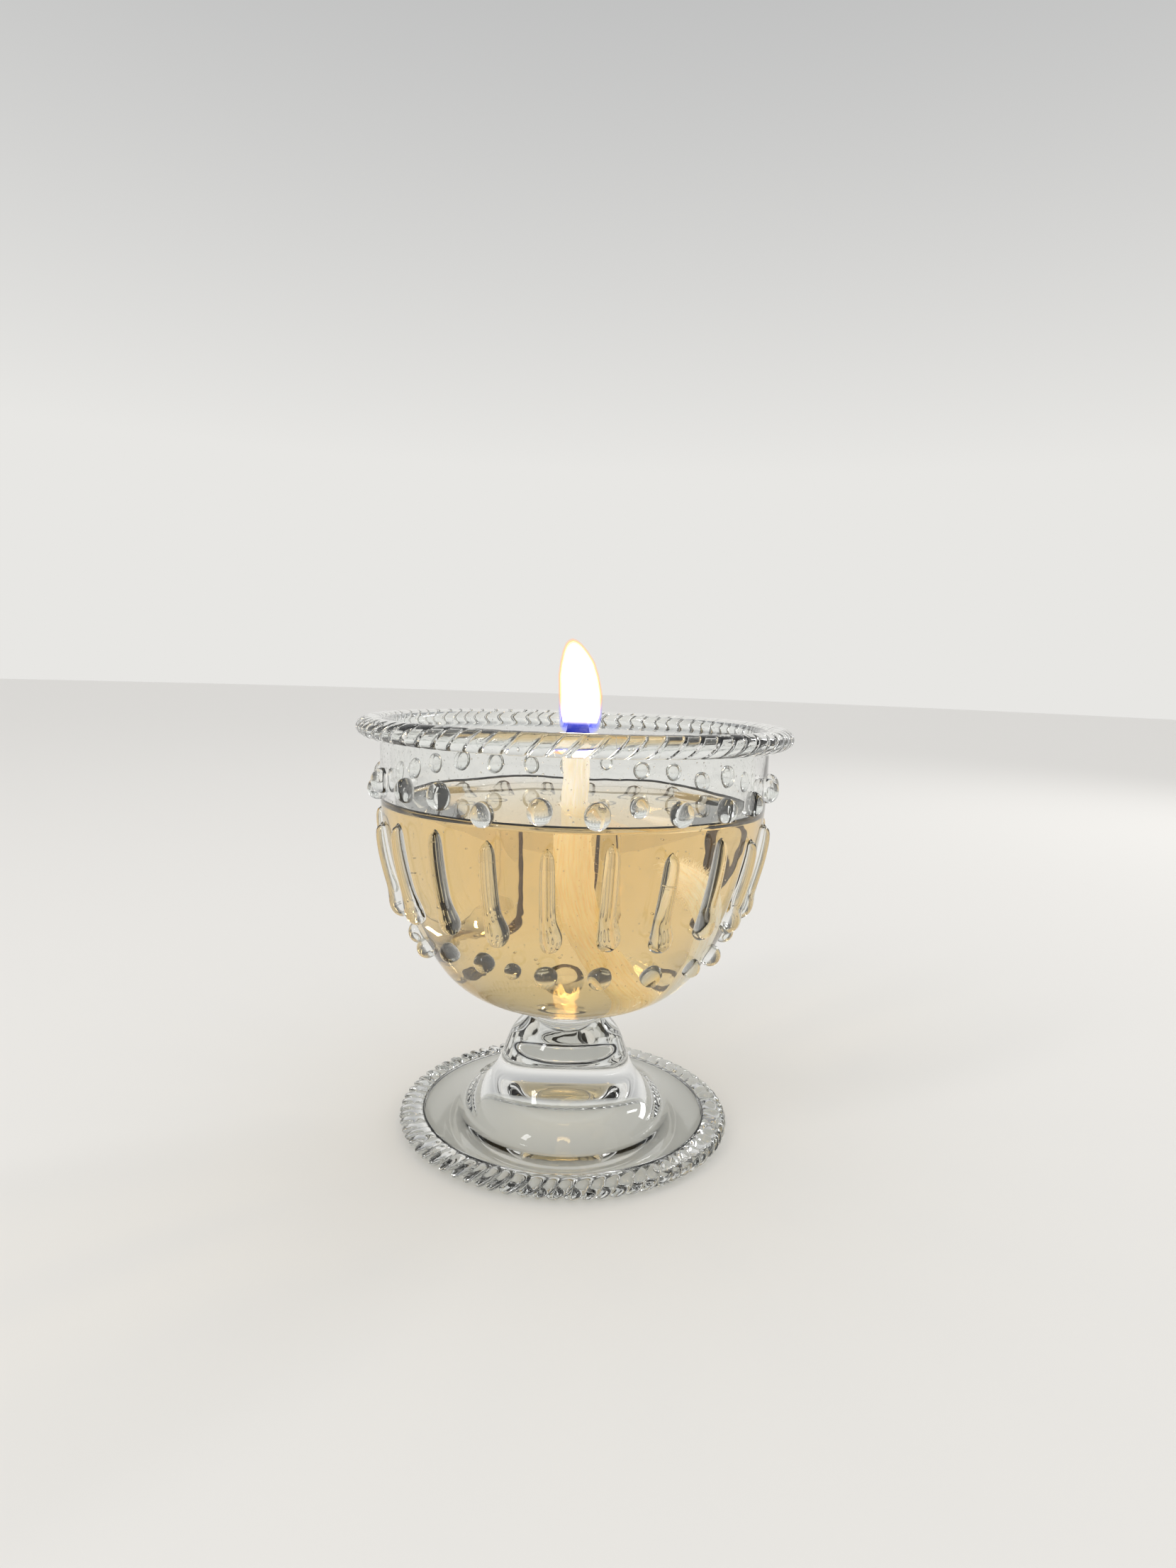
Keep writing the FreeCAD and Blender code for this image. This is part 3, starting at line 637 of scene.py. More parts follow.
clear_glass, tree = new_material("lampworked_borosilicate_glass")
ripple = add(tree, "ShaderNodeTexNoise", {
    "Vector": add(tree, "ShaderNodeTexCoord").outputs["Object"],
    "Scale": 1 / (GLASS_RIPPLE_MM * MM), "Detail": 1.0, "Roughness": 0.4,
})
skin_bump = add(tree, "ShaderNodeBump", {"Height": ripple, "Strength": 0.2, "Distance": 0.06 * MM})
shader = add(tree, "ShaderNodeBsdfPrincipled", {
    "Base Color": colour("#FCFDFC"), "Roughness": 0.0, "IOR": 1.474, "Transmission Weight": 1.0,
    "Normal": skin_bump,
})
slant = add(tree, "ShaderNodeLayerWeight", {"Blend": 0.3})
dimming = add(tree, "ShaderNodeValToRGB", {"Fac": slant.outputs["Facing"]}, [
    (0.0, colour("#FAFBFA")), (1.0, colour("#9C9E9D")),
])
dimmed = add(tree, "ShaderNodeBsdfTransparent", [dimming])
add(tree, "ShaderNodeOutputMaterial", [let_light_pass(tree, shader, dimmed)])
print("glass:", clear_glass.name)

# %% [markdown]
# Lamp oil, such as mustard or sesame oil, bends light as much as the glass does, so where the two
# touch the border can't be seen. Its amber comes from depth: a thin layer looks nearly clear, and
# the full bowl golden. Volume Absorption does that, and a painted colour would not.

# %% Oil
lamp_oil, tree = new_material("golden_vegetable_oil")
shader = add(tree, "ShaderNodeBsdfPrincipled", {
    "Base Color": colour("#FFFFFF"), "Roughness": 0.0, "IOR": 1.472, "Transmission Weight": 1.0,
})
depth = add(tree, "ShaderNodeVolumeAbsorption", {"Color": colour("#FBDC5E"), "Density": 27.0})
through = let_light_pass(tree, shader, add(tree, "ShaderNodeBsdfTransparent"))
add(tree, "ShaderNodeOutputMaterial", {"Surface": through, "Volume": depth})
print("oil:", lamp_oil.name)

# %% [markdown]
# ## The bowl's wall
#
# Everything on this lamp follows the bowl's outer wall: a nearly flat bottom, a tight shoulder, a
# long belly and a straight neck. Three arcs and a line describe it, each tangent to the next. The
# functions below give points along that outline with the direction that faces outwards, so the
# inner face, the oil and every bead and drop can be placed by a depth below the surface.

# %% Outline of the wall
NECK_RADIUS, WALL, NECK_BASE, LIP_TOP, BOWL_BASE = 33.9, 2.2, 64.0, 73.4, 22.7
BELLY_ARC, SHOULDER_ARC, BASE_ARC = 58.7, 16.2, 76.0
OUTLINE_STEP = 0.7

base_centre = Vector((0, BOWL_BASE + BASE_ARC))
belly_centre = Vector((NECK_RADIUS - BELLY_ARC, NECK_BASE))
apart = belly_centre - base_centre
to_base, to_belly = BASE_ARC - SHOULDER_ARC, BELLY_ARC - SHOULDER_ARC
reach = (to_base ** 2 - to_belly ** 2 + apart.length ** 2) / (2 * apart.length)
aside = math.sqrt(to_base ** 2 - reach ** 2)
along = apart.normalized()
across = Vector((-along.y, along.x))
shoulder_centre = max(
    (base_centre + along * reach + across * side * aside for side in (-1, 1)),
    key=lambda spot: spot.x,
)
low_turn = math.atan2(shoulder_centre.y - base_centre.y, shoulder_centre.x - base_centre.x)
high_turn = math.atan2(shoulder_centre.y - belly_centre.y, shoulder_centre.x - belly_centre.x)
WALL_ARCS = [
    (base_centre, BASE_ARC, -HALF_TURN / 2, low_turn),
    (shoulder_centre, SHOULDER_ARC, low_turn, high_turn),
    (belly_centre, BELLY_ARC, high_turn, 0.0),
]
print("shoulder's centre", [round(value, 2) for value in shoulder_centre], "mm")

# %% Points on the wall
def wall_outline(top):
    """Points (radius, height) on the outer wall from the axis up to a height, and their normals."""
    points, normals = [], []
    for centre, radius, start, end in WALL_ARCS:
        for turn in np.linspace(start, end, round(radius * (end - start) / OUTLINE_STEP), endpoint=False):
            normal = np.array((math.cos(turn), math.sin(turn)))
            points.append(np.array(centre) + radius * normal)
            normals.append(normal)
    for height in np.arange(NECK_BASE, LIP_TOP, OUTLINE_STEP):
        points.append(np.array((NECK_RADIUS, height)))
        normals.append(np.array((1.0, 0.0)))
    kept = [index for index, point in enumerate(points) if point[1] < top - OUTLINE_STEP / 3]
    points, normals = [points[index] for index in kept], [normals[index] for index in kept]
    reach = NECK_RADIUS
    if top < NECK_BASE:
        reach = belly_centre.x + math.sqrt(BELLY_ARC ** 2 - (top - NECK_BASE) ** 2)
    points.append(np.array((reach, top)))
    normals.append(normals[-1])
    points[0][0] = 0
    return np.array(points), np.array(normals)


def outside_wall(radius, height):
    """How far points lie outside the outer wall, and the wall's normals there."""
    spots = np.stack([radius, height], -1)
    outside, normal = radius - NECK_RADIUS, np.broadcast_to((1.0, 0.0), spots.shape)
    below = height < NECK_BASE
    for centre, arc, start, end in WALL_ARCS[::-1]:
        away = spots - np.array(centre)
        length = np.linalg.norm(away, axis=-1)
        outside = np.where(below, length - arc, outside)
        normal = np.where(below[..., None], away / length[..., None], normal)
        below = below & (np.arctan2(away[..., 1], away[..., 0]) < start)
    return outside, normal


outline, outward = wall_outline(LIP_TOP - WALL / 2)
print("outline of", len(outline), "points, widest", round(outline[:, 0].max(), 2), "mm")

# %% [markdown]
# ## Bowl
#
# A blown bowl is even on the outside, where a tool shaped it, and slightly wavy on the inside. The
# waves are under a tenth of a millimetre high, and they make the view through hand-made glass
# swim. The same function serves the glass and the oil that touches it.

# %% Bowl
TURNS = np.linspace(0, FULL_TURN, 176, endpoint=False)
EVEN = np.ones(len(TURNS))
LIP_RINGS, CALM_BELOW_LIP, CALM_NEAR_AXIS = 15, 3, 4
WAVES = [
    # height in millimetres, waves round the bowl, drift for each millimetre up, start
    (0.035, 3, 0.11, 0.0), (0.025, 7, -0.19, 1.3), (0.015, 11, 0.43, 0.4),
]


def waves(height):
    """Waviness of the inner face at a height, in millimetres, one value for each turn."""
    return sum(size * np.sin(count * TURNS + drift * height + start) for size, count, drift, start in WAVES)


lip_middle = LIP_TOP - WALL / 2
rows = [(point[0] * EVEN, point[1] * EVEN) for point in outline]
for turn in np.linspace(0, HALF_TURN, LIP_RINGS)[1:-1]:
    rows.append((
        (NECK_RADIUS - WALL / 2 + WALL / 2 * math.cos(turn)) * EVEN,
        (lip_middle + WALL / 2 * math.sin(turn)) * EVEN,
    ))
for point, normal in zip(outline[::-1], outward[::-1]):
    fade = max(0.0, min(1.0, (lip_middle - point[1]) / CALM_BELOW_LIP, point[0] / CALM_NEAR_AXIS))
    inset = WALL + waves(point[1]) * fade
    rows.append((point[0] - normal[0] * inset, point[1] - normal[1] * inset))
bowl = turn_on_axis("blown_bowl", *zip(*rows), clear_glass, TURNS)
belongs(bowl, "lamp", "clear_glass", "glass_bowl")
bowl_volume = face_out(bowl)
print("bowl:", bowl_volume, "mm3 of glass")

# %% [markdown]
# ## Oil in the bowl
#
# Where oil touches glass there is no air, so the oil's mesh is let into the wall by a twentieth of
# a millimetre. A ray then meets two nearly parallel faces and keeps its way, as it does in the real
# lamp. The oil climbs the wall and the wick a little. That curved edge is called the meniscus.

# %% Oil in the bowl
OIL_LEVEL, CLIMB, CLIMB_REACH, LET_IN = 58.5, 1.35, 1.2, 0.05
WICK_CLIMB, WICK_CLIMB_REACH, WICK_AT_SURFACE = 0.7, 0.7, (0.2, 0.45)
FROM_WALL = (0.1, 0.25, 0.45, 0.7, 1.0, 1.4, 1.9, 2.6, 3.6, 5.0)
FROM_AXIS = (4.6, 4.1, 3.7, 3.4, 3.1, 2.9, 2.7, 2.5, 2.2, 1.2, 0.0)
rows = []
side, side_out = wall_outline(OIL_LEVEL + CLIMB)
for point, normal in zip(side, side_out):
    inset = WALL - LET_IN + waves(point[1]) * min(1.0, point[0] / CALM_NEAR_AXIS)
    rows.append((point[0] - normal[0] * inset, point[1] - normal[1] * inset))
edge = np.mean(rows[-1][0])
for radius in [edge - step for step in FROM_WALL] + list(np.linspace(edge - 7, 5.2, 9)) + list(FROM_AXIS):
    x, y = radius * np.cos(TURNS), radius * np.sin(TURNS)
    from_wick = np.maximum(0, np.hypot(x - WICK_AT_SURFACE[0], y - WICK_AT_SURFACE[1]) - WICK_RADIUS)
    rise = CLIMB * np.exp(-(edge - radius) / CLIMB_REACH)
    rise = rise + WICK_CLIMB * np.exp(-from_wick / WICK_CLIMB_REACH)
    rows.append((radius * EVEN, OIL_LEVEL + rise))
oil = turn_on_axis("oil_in_bowl", *zip(*rows), lamp_oil, TURNS)
belongs(oil, "lamp", "lamp_oil", "oil_fill")
oil_volume = face_out(oil)
print("oil:", oil_volume, "mm3")

# %% [markdown]
# ## Rim rope and foot rope
#
# The worker lays a thick thread of glass round the rim and presses a tool across it every three
# millimetres, always at the same slant. That is a rule, so Geometry Nodes makes both ropes from a
# flat grid: one side of the grid becomes the way round the lamp, the other the way round the
# thread. The grid's columns crowd together at each notch and slant with it, so the sharp groove
# gets the most points and no face lies across it.

# %% Inputs of the rope's tree
rope_tree, given = begin_tree("notched_glass_rope", {
    "Wall radius": "Float", "Width": "Float", "Thickness": "Float", "Middle height": "Float",
    "Lobes": "Int", "Steps per lobe": "Int", "Steps round thread": "Int", "Notch depth": "Float",
    "Notch width": "Float", "Marked below": "Float", "Roundness": "Float", "Slant": "Float",
    "Unevenness": "Float", "Glass": "Material",
})
on_grid = add(rope_tree, "ShaderNodeSeparateXYZ", [add(rope_tree, "GeometryNodeInputPosition")])
from_seam = add(rope_tree, "ShaderNodeMath", [on_grid.outputs["X"]], operation="ABSOLUTE")
wander = add(rope_tree, "ShaderNodeTexNoise", {
    "W": from_seam, "Scale": 28.0, "Detail": 0.0,
}, noise_dimensions="1D")
known = {socket.name: socket for socket in given}
known.update({"X": on_grid.outputs["X"], "Y": on_grid.outputs["Y"], "wander": wander})
print("the rope's tree knows", len(known), "values")

# %% [markdown]
# The arithmetic is a table: each row names its result, a Math node's operation and the values that
# it takes, which are numbers or the names of inputs and earlier results. One loop turns the rows
# into nodes. Up and out are the two directions across the thread, and crowded runs from -0.5 to 0.5
# over a lobe, slowly near its middle, where the notch lies.

# %% Arithmetic of the rope
ROPE_STEPS = [
    ("columns", "MULTIPLY_ADD", "Lobes", "Steps per lobe", 1.0),
    ("rows", "ADD", "Steps round thread", 1.0),
    ("thread turn", "MULTIPLY", "Y", -FULL_TURN),
    ("out", "COSINE", "thread turn"),
    ("up", "SINE", "thread turn"),
    # the lobe that a point belongs to, and its place within it
    ("share", "ADD", "X", 0.5),
    ("lobe place", "MULTIPLY", "share", "Lobes"),
    ("lobe", "FLOOR", "lobe place"),
    ("within", "FRACT", "lobe place"),
    ("beside", "SUBTRACT", "within", 0.5),
    ("distance", "ABSOLUTE", "beside"),
    ("crowded", "MULTIPLY", "beside", "distance"),
    ("crowded", "MULTIPLY", "crowded", 2.0),
    # its turn round the lamp, with stray and slant
    ("stray", "SUBTRACT", "wander", 0.5),
    ("stray", "MULTIPLY", "stray", "Unevenness"),
    ("phase", "ADD", "lobe", 0.5),
    ("moved", "ADD", "crowded", "stray"),
    ("phase", "ADD", "phase", "moved"),
    ("slanting", "MULTIPLY", "up", "Slant"),
    ("phase", "ADD", "phase", "slanting"),
    ("turn", "DIVIDE", "phase", "Lobes"),
    ("turn", "MULTIPLY", "turn", FULL_TURN),
    # the groove, which fades where the tool didn't reach
    ("from notch", "ABSOLUTE", "crowded"),
    ("groove", "DIVIDE", "from notch", "Notch width"),
    ("groove", "POWER", "groove", 2.0),
    ("groove", "MULTIPLY", "groove", -1.0),
    ("groove", "EXPONENT", "groove"),
    ("marked", "MULTIPLY", "out", 0.9),
    ("unmarked", "MULTIPLY", "up", "Marked below"),
    ("marked", "SUBTRACT", "marked", "unmarked"),
    ("marked", "ADD", "marked", 0.35),
    ("marked", "MAXIMUM", "marked", 0.0),
    ("marked", "MINIMUM", "marked", 1.0),
    ("groove", "MULTIPLY", "groove", "marked"),
    # the share of its thickness that the thread keeps
    ("from crown", "SUBTRACT", 0.5, "from notch"),
    ("rounding", "MULTIPLY", "from crown", "from crown"),
    ("rounding", "MULTIPLY", "rounding", "Roundness"),
    ("lost", "MULTIPLY_ADD", "groove", "Notch depth", "rounding"),
    ("kept", "SUBTRACT", 1.0, "lost"),
    # the point's place
    ("bulge", "MULTIPLY_ADD", "out", 0.58, 0.42),
    ("bulge", "MULTIPLY", "bulge", "kept"),
    ("bulge", "MAXIMUM", "bulge", 0.0),
    ("radius", "MULTIPLY_ADD", "bulge", "Width", "Wall radius"),
    ("across", "COSINE", "turn"),
    ("across", "MULTIPLY", "radius", "across"),
    ("away", "SINE", "turn"),
    ("away", "MULTIPLY", "radius", "away"),
    ("half height", "MULTIPLY", "Thickness", 0.5),
    ("half height", "MULTIPLY", "half height", "kept"),
    ("height", "MULTIPLY_ADD", "up", "half height", "Middle height"),
]
for result, operation, *values in ROPE_STEPS:
    values = [known[value] if isinstance(value, str) else value for value in values]
    known[result] = add(rope_tree, "ShaderNodeMath", values, operation=operation)
print("steps of arithmetic:", len(ROPE_STEPS))

# %% Mesh of the rope
grid = add(rope_tree, "GeometryNodeMeshGrid", [1.0, 1.0, known["columns"], known["rows"]])
spot = add(rope_tree, "ShaderNodeCombineXYZ", [known["across"], known["away"], known["height"]])
placed = add(rope_tree, "GeometryNodeSetPosition", {"Geometry": grid, "Position": spot})
closed = add(rope_tree, "GeometryNodeMergeByDistance", {"Geometry": placed, "Distance": 0.002 * MM})
end_tree(rope_tree, closed, given["Glass"])
print("rope tree of", len(rope_tree.nodes), "nodes")

# %% Both ropes
ROPES = {
    "rim_rope": {
        "Wall radius": (NECK_RADIUS - LET_IN) * MM, "Width": (4.08 + LET_IN) * MM,
        "Thickness": 3.6 * MM, "Middle height": 72.0 * MM, "Lobes": 78, "Steps per lobe": 16,
        "Steps round thread": 30, "Notch depth": 0.15, "Notch width": 0.07, "Marked below": 0.6,
        "Roundness": 0.06, "Slant": 0.5, "Unevenness": 0.7, "Glass": clear_glass,
    },
    "foot_rope": {
        "Wall radius": (25.8 - LET_IN) * MM, "Width": (4.2 + LET_IN) * MM,
        "Thickness": 3.2 * MM, "Middle height": 1.62 * MM, "Lobes": 72, "Steps per lobe": 14,
        "Steps round thread": 26, "Notch depth": 0.12, "Notch width": 0.12, "Marked below": 0.0,
        "Roundness": 0.75, "Slant": 0.55, "Unevenness": 0.6, "Glass": clear_glass,
    },
}
for node_name, values in ROPES.items():
    rope = grow(node_name + "_glass", rope_tree, values)
    volume = face_out(rope)
    belongs(rope, "lamp", "clear_glass", node_name)
    print(rope.name, "of", len(rope.data.polygons), "faces,", volume, "mm3")

# %% [markdown]
# ## Beads
#
# Two rows of beads ring the bowl. Each is a dot of molten glass touched onto the wall, a little
# taller than wide, no two quite alike. A small cloud of points carries each bead's size and the
# direction it faces, and Geometry Nodes puts a ball on every point. Afterwards the side that lies
# inside the wall is pressed onto it, so glass meets glass without a gap.

# %% Places of the beads
BEAD_STRAY, BEAD_STAND_OFF = 1.3, 0.35
BEAD_ROWS = {
    # height, width of a bead and count, then angle, stray and width of those in front
    "neck_beads": (62.5, 3.8, 26, [
        (-66.1, 0.8, 1.0), (-49.1, 0.5, 0.95), (-35.7, 0.5, 1.04), (-22.7, -1.0, 0.96),
        (-8.0, -0.2, 1.0), (5.9, -0.5, 1.04), (16.2, 0.5, 0.78), (27.8, -0.4, 1.0),
        (42.8, -0.4, 0.96), (55.6, -0.1, 1.0), (71.1, 0.8, 1.0),
    ]),
    "lower_beads": (35.9, 3.5, 22, [
        (-64.8, -0.7, 1.0), (-42.7, 1.0, 1.0), (-28.1, 0.8, 0.98), (-18.2, 0.2, 0.76),
        (-7.2, -0.2, 1.04), (10.5, -0.2, 1.06), (29.3, -0.5, 1.02), (49.7, -0.9, 0.9),
    ]),
}


def around(angle, radius, height):
    """A point at an angle in degrees from the front, positive to the right."""
    turn = math.radians(angle)
    return np.array((radius * math.sin(turn), -radius * math.cos(turn), height))


def full_row(seen, count):
    """The angles seen in front, then evenly shared ones for the copies behind."""
    hidden = count - len(seen)
    step = (seen[0] + 360 - seen[-1]) / (hidden + 1)
    return seen + [seen[-1] + step * (index + 1) for index in range(hidden)]


def on_wall(angle, height):
    """Point and outward direction on the outer wall, at an angle and a height."""
    radius = NECK_RADIUS
    if height < NECK_BASE:
        radius = belly_centre.x + math.sqrt(BELLY_ARC ** 2 - (height - NECK_BASE) ** 2)
    slope = outside_wall(np.array(radius), np.array(height))[1]
    return around(angle, radius, height), around(angle, slope[0], slope[1])


print("beads:", {name: row[2] for name, row in BEAD_ROWS.items()})

# %% Node tree of the beads
bead_tree, given = begin_tree("beads_on_a_wall", {"Tallness": "Float", "Glass": "Material"})
ball = add(bead_tree, "GeometryNodeMeshUVSphere", {"Segments": 28, "Rings": 18, "Radius": 0.5})
facing = add(bead_tree, "GeometryNodeInputNamedAttribute", ["facing"], data_type="FLOAT_VECTOR")
stand = add(bead_tree, "FunctionNodeAlignRotationToVector", {"Vector": facing}, axis="X")
wide = add(bead_tree, "GeometryNodeInputNamedAttribute", ["width"], data_type="FLOAT")
tall = add(bead_tree, "ShaderNodeMath", [wide, given["Tallness"]], operation="MULTIPLY")
set_on = add(bead_tree, "GeometryNodeInstanceOnPoints", {
    "Points": given["Geometry"], "Instance": ball, "Rotation": stand,
    "Scale": add(bead_tree, "ShaderNodeCombineXYZ", [wide, wide, tall]),
})
end_tree(bead_tree, set_on, given["Glass"])
print("bead tree of", len(bead_tree.nodes), "nodes")

# %% Beads on the wall
def press_onto_wall(piece):
    """Moves the points that lie too deep in the wall out to the let-in depth."""
    spots = np.array([vertex.co for vertex in piece.data.vertices]) / MM
    radius = np.hypot(spots[:, 0], spots[:, 1])
    outside, normal = outside_wall(radius, spots[:, 2])
    lift = np.maximum(0, -LET_IN - outside)
    spots[:, :2] *= ((radius + lift * normal[:, 0]) / radius)[:, None]
    spots[:, 2] += lift * normal[:, 1]
    piece.data.vertices.foreach_set("co", (spots * MM).ravel())
    piece.data.update()
    return int((lift > 0).sum())


for node_name, (height, width, count, seen) in BEAD_ROWS.items():
    places, directions, widths = [], [], []
    for index, angle in enumerate(full_row([row[0] for row in seen], count)):
        stray_share, width_share = seen[index % len(seen)][1:]
        spot, direction = on_wall(angle, height + BEAD_STRAY * stray_share)
        places.append(tuple((spot + direction * BEAD_STAND_OFF) * MM))
        directions.append(direction)
        widths.append(width * width_share * MM)
    cloud = bpy.data.meshes.new(node_name + "_places")
    cloud.from_pydata(places, [], [])
    facings = cloud.attributes.new("facing", "FLOAT_VECTOR", "POINT")
    facings.data.foreach_set("vector", np.ravel(directions))
    cloud.attributes.new("width", "FLOAT", "POINT").data.foreach_set("value", widths)
    beads = grow(node_name + "_glass", bead_tree, {"Tallness": 1.1, "Glass": clear_glass}, cloud)
    pressed = press_onto_wall(beads)
    belongs(beads, "lamp", "clear_glass", node_name)
    print(beads.name, "of", len(beads.data.polygons), "faces,", pressed, "points on the wall")

# %% [markdown]
# ## Teardrops
#
# Between the rows hang the drops: a rod's molten end is touched to the wall low down, drawn
# upwards and cut off, which leaves a round end below, a long tail above it and a small point at
# the top. The round end swells to one side of the tail. Each drop is a line along the belly that
# carries a thickness, and Geometry Nodes sweeps a circle along it.

# %% Lines of the teardrops
DROP_ROW = [
    # angle, stray share, width share
    (-54.9, 0.3, 1.0), (-37.7, 0.8, 0.97), (-21.6, 0.2, 1.05), (-6.0, -0.4, 0.96), (10.1, 0.6, 1.0),
    (26.4, -1.0, 1.02), (42.6, 0.6, 0.95), (59.2, -0.8, 1.0),
]
DROP_COUNT, DROP_TOP, DROP_BOTTOM, DROP_WIDTH, DROP_STRAY = 22, 57.2, 41.0, 3.7, 1.0
DROP_PROUD, DROP_END, TAIL_SHARE, DROP_STEPS = 0.4, 0.35, 0.69, 56
DROP_SHAPE = [
    (0.0, 0.02), (0.012, 0.42), (0.045, 0.78), (0.11, 1.0), (0.18, 0.95), (0.26, 0.78), (0.34, 0.70),
    (0.50, 0.69), (0.68, 0.68), (0.84, 0.64), (0.92, 0.57), (0.955, 0.42), (0.975, 0.22), (1.0, 0.03),
]
SMOOTHINGS = 3
shares = 0.5 - 0.5 * np.cos(np.linspace(0, HALF_TURN, DROP_STEPS))
drop_outs = between(shares, DROP_SHAPE)
for smoothing in range(SMOOTHINGS):
    drop_outs[1:-1] = np.convolve(drop_outs, (0.25, 0.5, 0.25), "valid")


def drop_line(angle, stray, width):
    """Points along one drop in millimetres, with their radius."""
    low = math.asin((DROP_BOTTOM + stray / 2 - NECK_BASE) / BELLY_ARC)
    high = math.asin((DROP_TOP + stray - NECK_BASE) / BELLY_ARC)
    spots = []
    for share, out in zip(shares, drop_outs):
        turn = low + (high - low) * share
        reach = BELLY_ARC + width / 2 * DROP_PROUD * max(out, DROP_END)
        radius = belly_centre.x + reach * math.cos(turn)
        swell = max(0.0, out - TAIL_SHARE) * width / 2
        lean = math.degrees(swell / radius)
        spots.append(around(angle + lean, radius, NECK_BASE + reach * math.sin(turn)))
    return spots, list(drop_outs * width / 2)


print("drops:", DROP_COUNT, "of", round(DROP_TOP - DROP_BOTTOM, 1), "mm")

# %% Node tree of the drops
drop_tree, given = begin_tree("drops_along_lines", {"Sides": "Int", "Glass": "Material"})
thick = add(drop_tree, "GeometryNodeInputNamedAttribute", ["thickness"], data_type="FLOAT")
strands = add(drop_tree, "GeometryNodeMeshToCurve", [given["Geometry"]])
ring = add(drop_tree, "GeometryNodeCurvePrimitiveCircle", {"Resolution": given["Sides"], "Radius": 1.0})
sweep = add(drop_tree, "GeometryNodeCurveToMesh", {
    "Curve": strands, "Profile Curve": ring, "Scale": thick, "Fill Caps": True,
})
end_tree(drop_tree, sweep, given["Glass"])
print("drop tree of", len(drop_tree.nodes), "nodes")

# %% Teardrops
spots, radii, edges = [], [], []
for index, angle in enumerate(full_row([row[0] for row in DROP_ROW], DROP_COUNT)):
    stray_share, width_share = DROP_ROW[index % len(DROP_ROW)][1:]
    line_spots, line_radii = drop_line(angle, DROP_STRAY * stray_share, DROP_WIDTH * width_share)
    edges += [(len(spots) + step, len(spots) + step + 1) for step in range(len(line_spots) - 1)]
    spots += line_spots
    radii += line_radii
lines = bpy.data.meshes.new("drop_lines")
lines.from_pydata([tuple(spot * MM) for spot in spots], edges, [])
lines.attributes.new("thickness", "FLOAT", "POINT").data.foreach_set("value", np.array(radii) * MM)
drops = grow("teardrops_glass", drop_tree, {"Sides": 40, "Glass": clear_glass}, lines)
volume = face_out(drops)
press_onto_wall(drops)
drop_nodes = ["teardrop_%02d" % (index + 1) for index in range(DROP_COUNT)]
belongs(drops, "lamp", "clear_glass", *drop_nodes)
print("drops of", len(drops.data.polygons), "faces,", volume, "mm3")

# %% [markdown]
# ## Pedestal
#
# Below the bowl one piece of solid glass runs down: a ring where the worker fused bowl and stem, a
# trumpet that flares into the foot, and a hollow underneath that lets the lamp stand on its rim.
# It is a turned form, so one outline makes it. Its top follows the bowl's bottom, let in as the
# oil is.

# %% Pedestal
PEDESTAL_SHARES = [
    (0.0, 1.0), (0.16, 0.82), (0.24, 0.61), (0.345, 0.36), (0.53, 0.155), (0.73, 0.057), (1.0, 0.0),
]
STEM_TOP, FOOT_RADIUS, FOOT_EDGE, COLLAR_BASE, COLLAR_RADIUS = 6.6, 25.8, 2.7, 20.2, 7.5
COLLAR_EDGE, HOLLOW_RADIUS, HOLLOW_DEPTH, SEAT_ROUNDING = 1.45, 17.0, 8.0, 0.5
HOLLOW_RINGS, TRUMPET_RINGS, COLLAR_TURNS = 28, 72, (-1.1, 1.12, 24)

ball_radius = (HOLLOW_RADIUS ** 2 / HOLLOW_DEPTH + HOLLOW_DEPTH) / 2
hollow_end = math.asin((HOLLOW_RADIUS - SEAT_ROUNDING) / ball_radius)
underside = [
    (ball_radius * math.sin(turn), HOLLOW_DEPTH - ball_radius * (1 - math.cos(turn)))
    for turn in np.linspace(0, hollow_end, HOLLOW_RINGS)
]
underside += [(HOLLOW_RADIUS, 0.12), (HOLLOW_RADIUS + SEAT_ROUNDING, 0.0)]
underside += [(radius, 0.0) for radius in np.linspace(18.5, FOOT_RADIUS - 0.8, 6)]
underside += [(FOOT_RADIUS - 0.2, 0.15), (FOOT_RADIUS, 0.6), (FOOT_RADIUS, 1.3), (FOOT_RADIUS, 2.1)]
trumpet = smooth_through([
    (STEM_TOP + out * (FOOT_RADIUS - STEM_TOP), FOOT_EDGE + up * (COLLAR_BASE - FOOT_EDGE))
    for out, up in PEDESTAL_SHARES
], np.linspace(0, 1, TRUMPET_RINGS))[::-1]
collar = [
    (COLLAR_RADIUS - COLLAR_EDGE * (1 - math.cos(turn)), COLLAR_BASE + COLLAR_EDGE * (1 + math.sin(turn)))
    for turn in np.linspace(*COLLAR_TURNS)
]
under_bowl = [
    (radius, BOWL_BASE + BASE_ARC - math.sqrt(BASE_ARC ** 2 - radius ** 2) + LET_IN)
    for radius in (6.4, 5.6, 4.4, 3.0, 1.5, 0.0)
]
profile = underside + [tuple(point) for point in trumpet] + collar + under_bowl
pedestal = turn_on_axis("pedestal", *zip(*profile), clear_glass, TURNS)
belongs(pedestal, "lamp", "clear_glass", "stem_collar", "stem", "foot_disc")
pedestal_volume = face_out(pedestal)
print("pedestal:", pedestal_volume, "mm3 of glass")

# %% [markdown]
# ## Seed bubbles
#
# Hand-worked glass traps air. This lamp's wall is full of seeds, bubbles of a tenth to a third of
# a millimetre, most of them in the neck. Geometry Nodes scatters them over a sheet that lies in the
# middle of the wall, by a density that grows with height. A seed is a tiny ball that bends light a
# little less than the glass round it, so it glints.

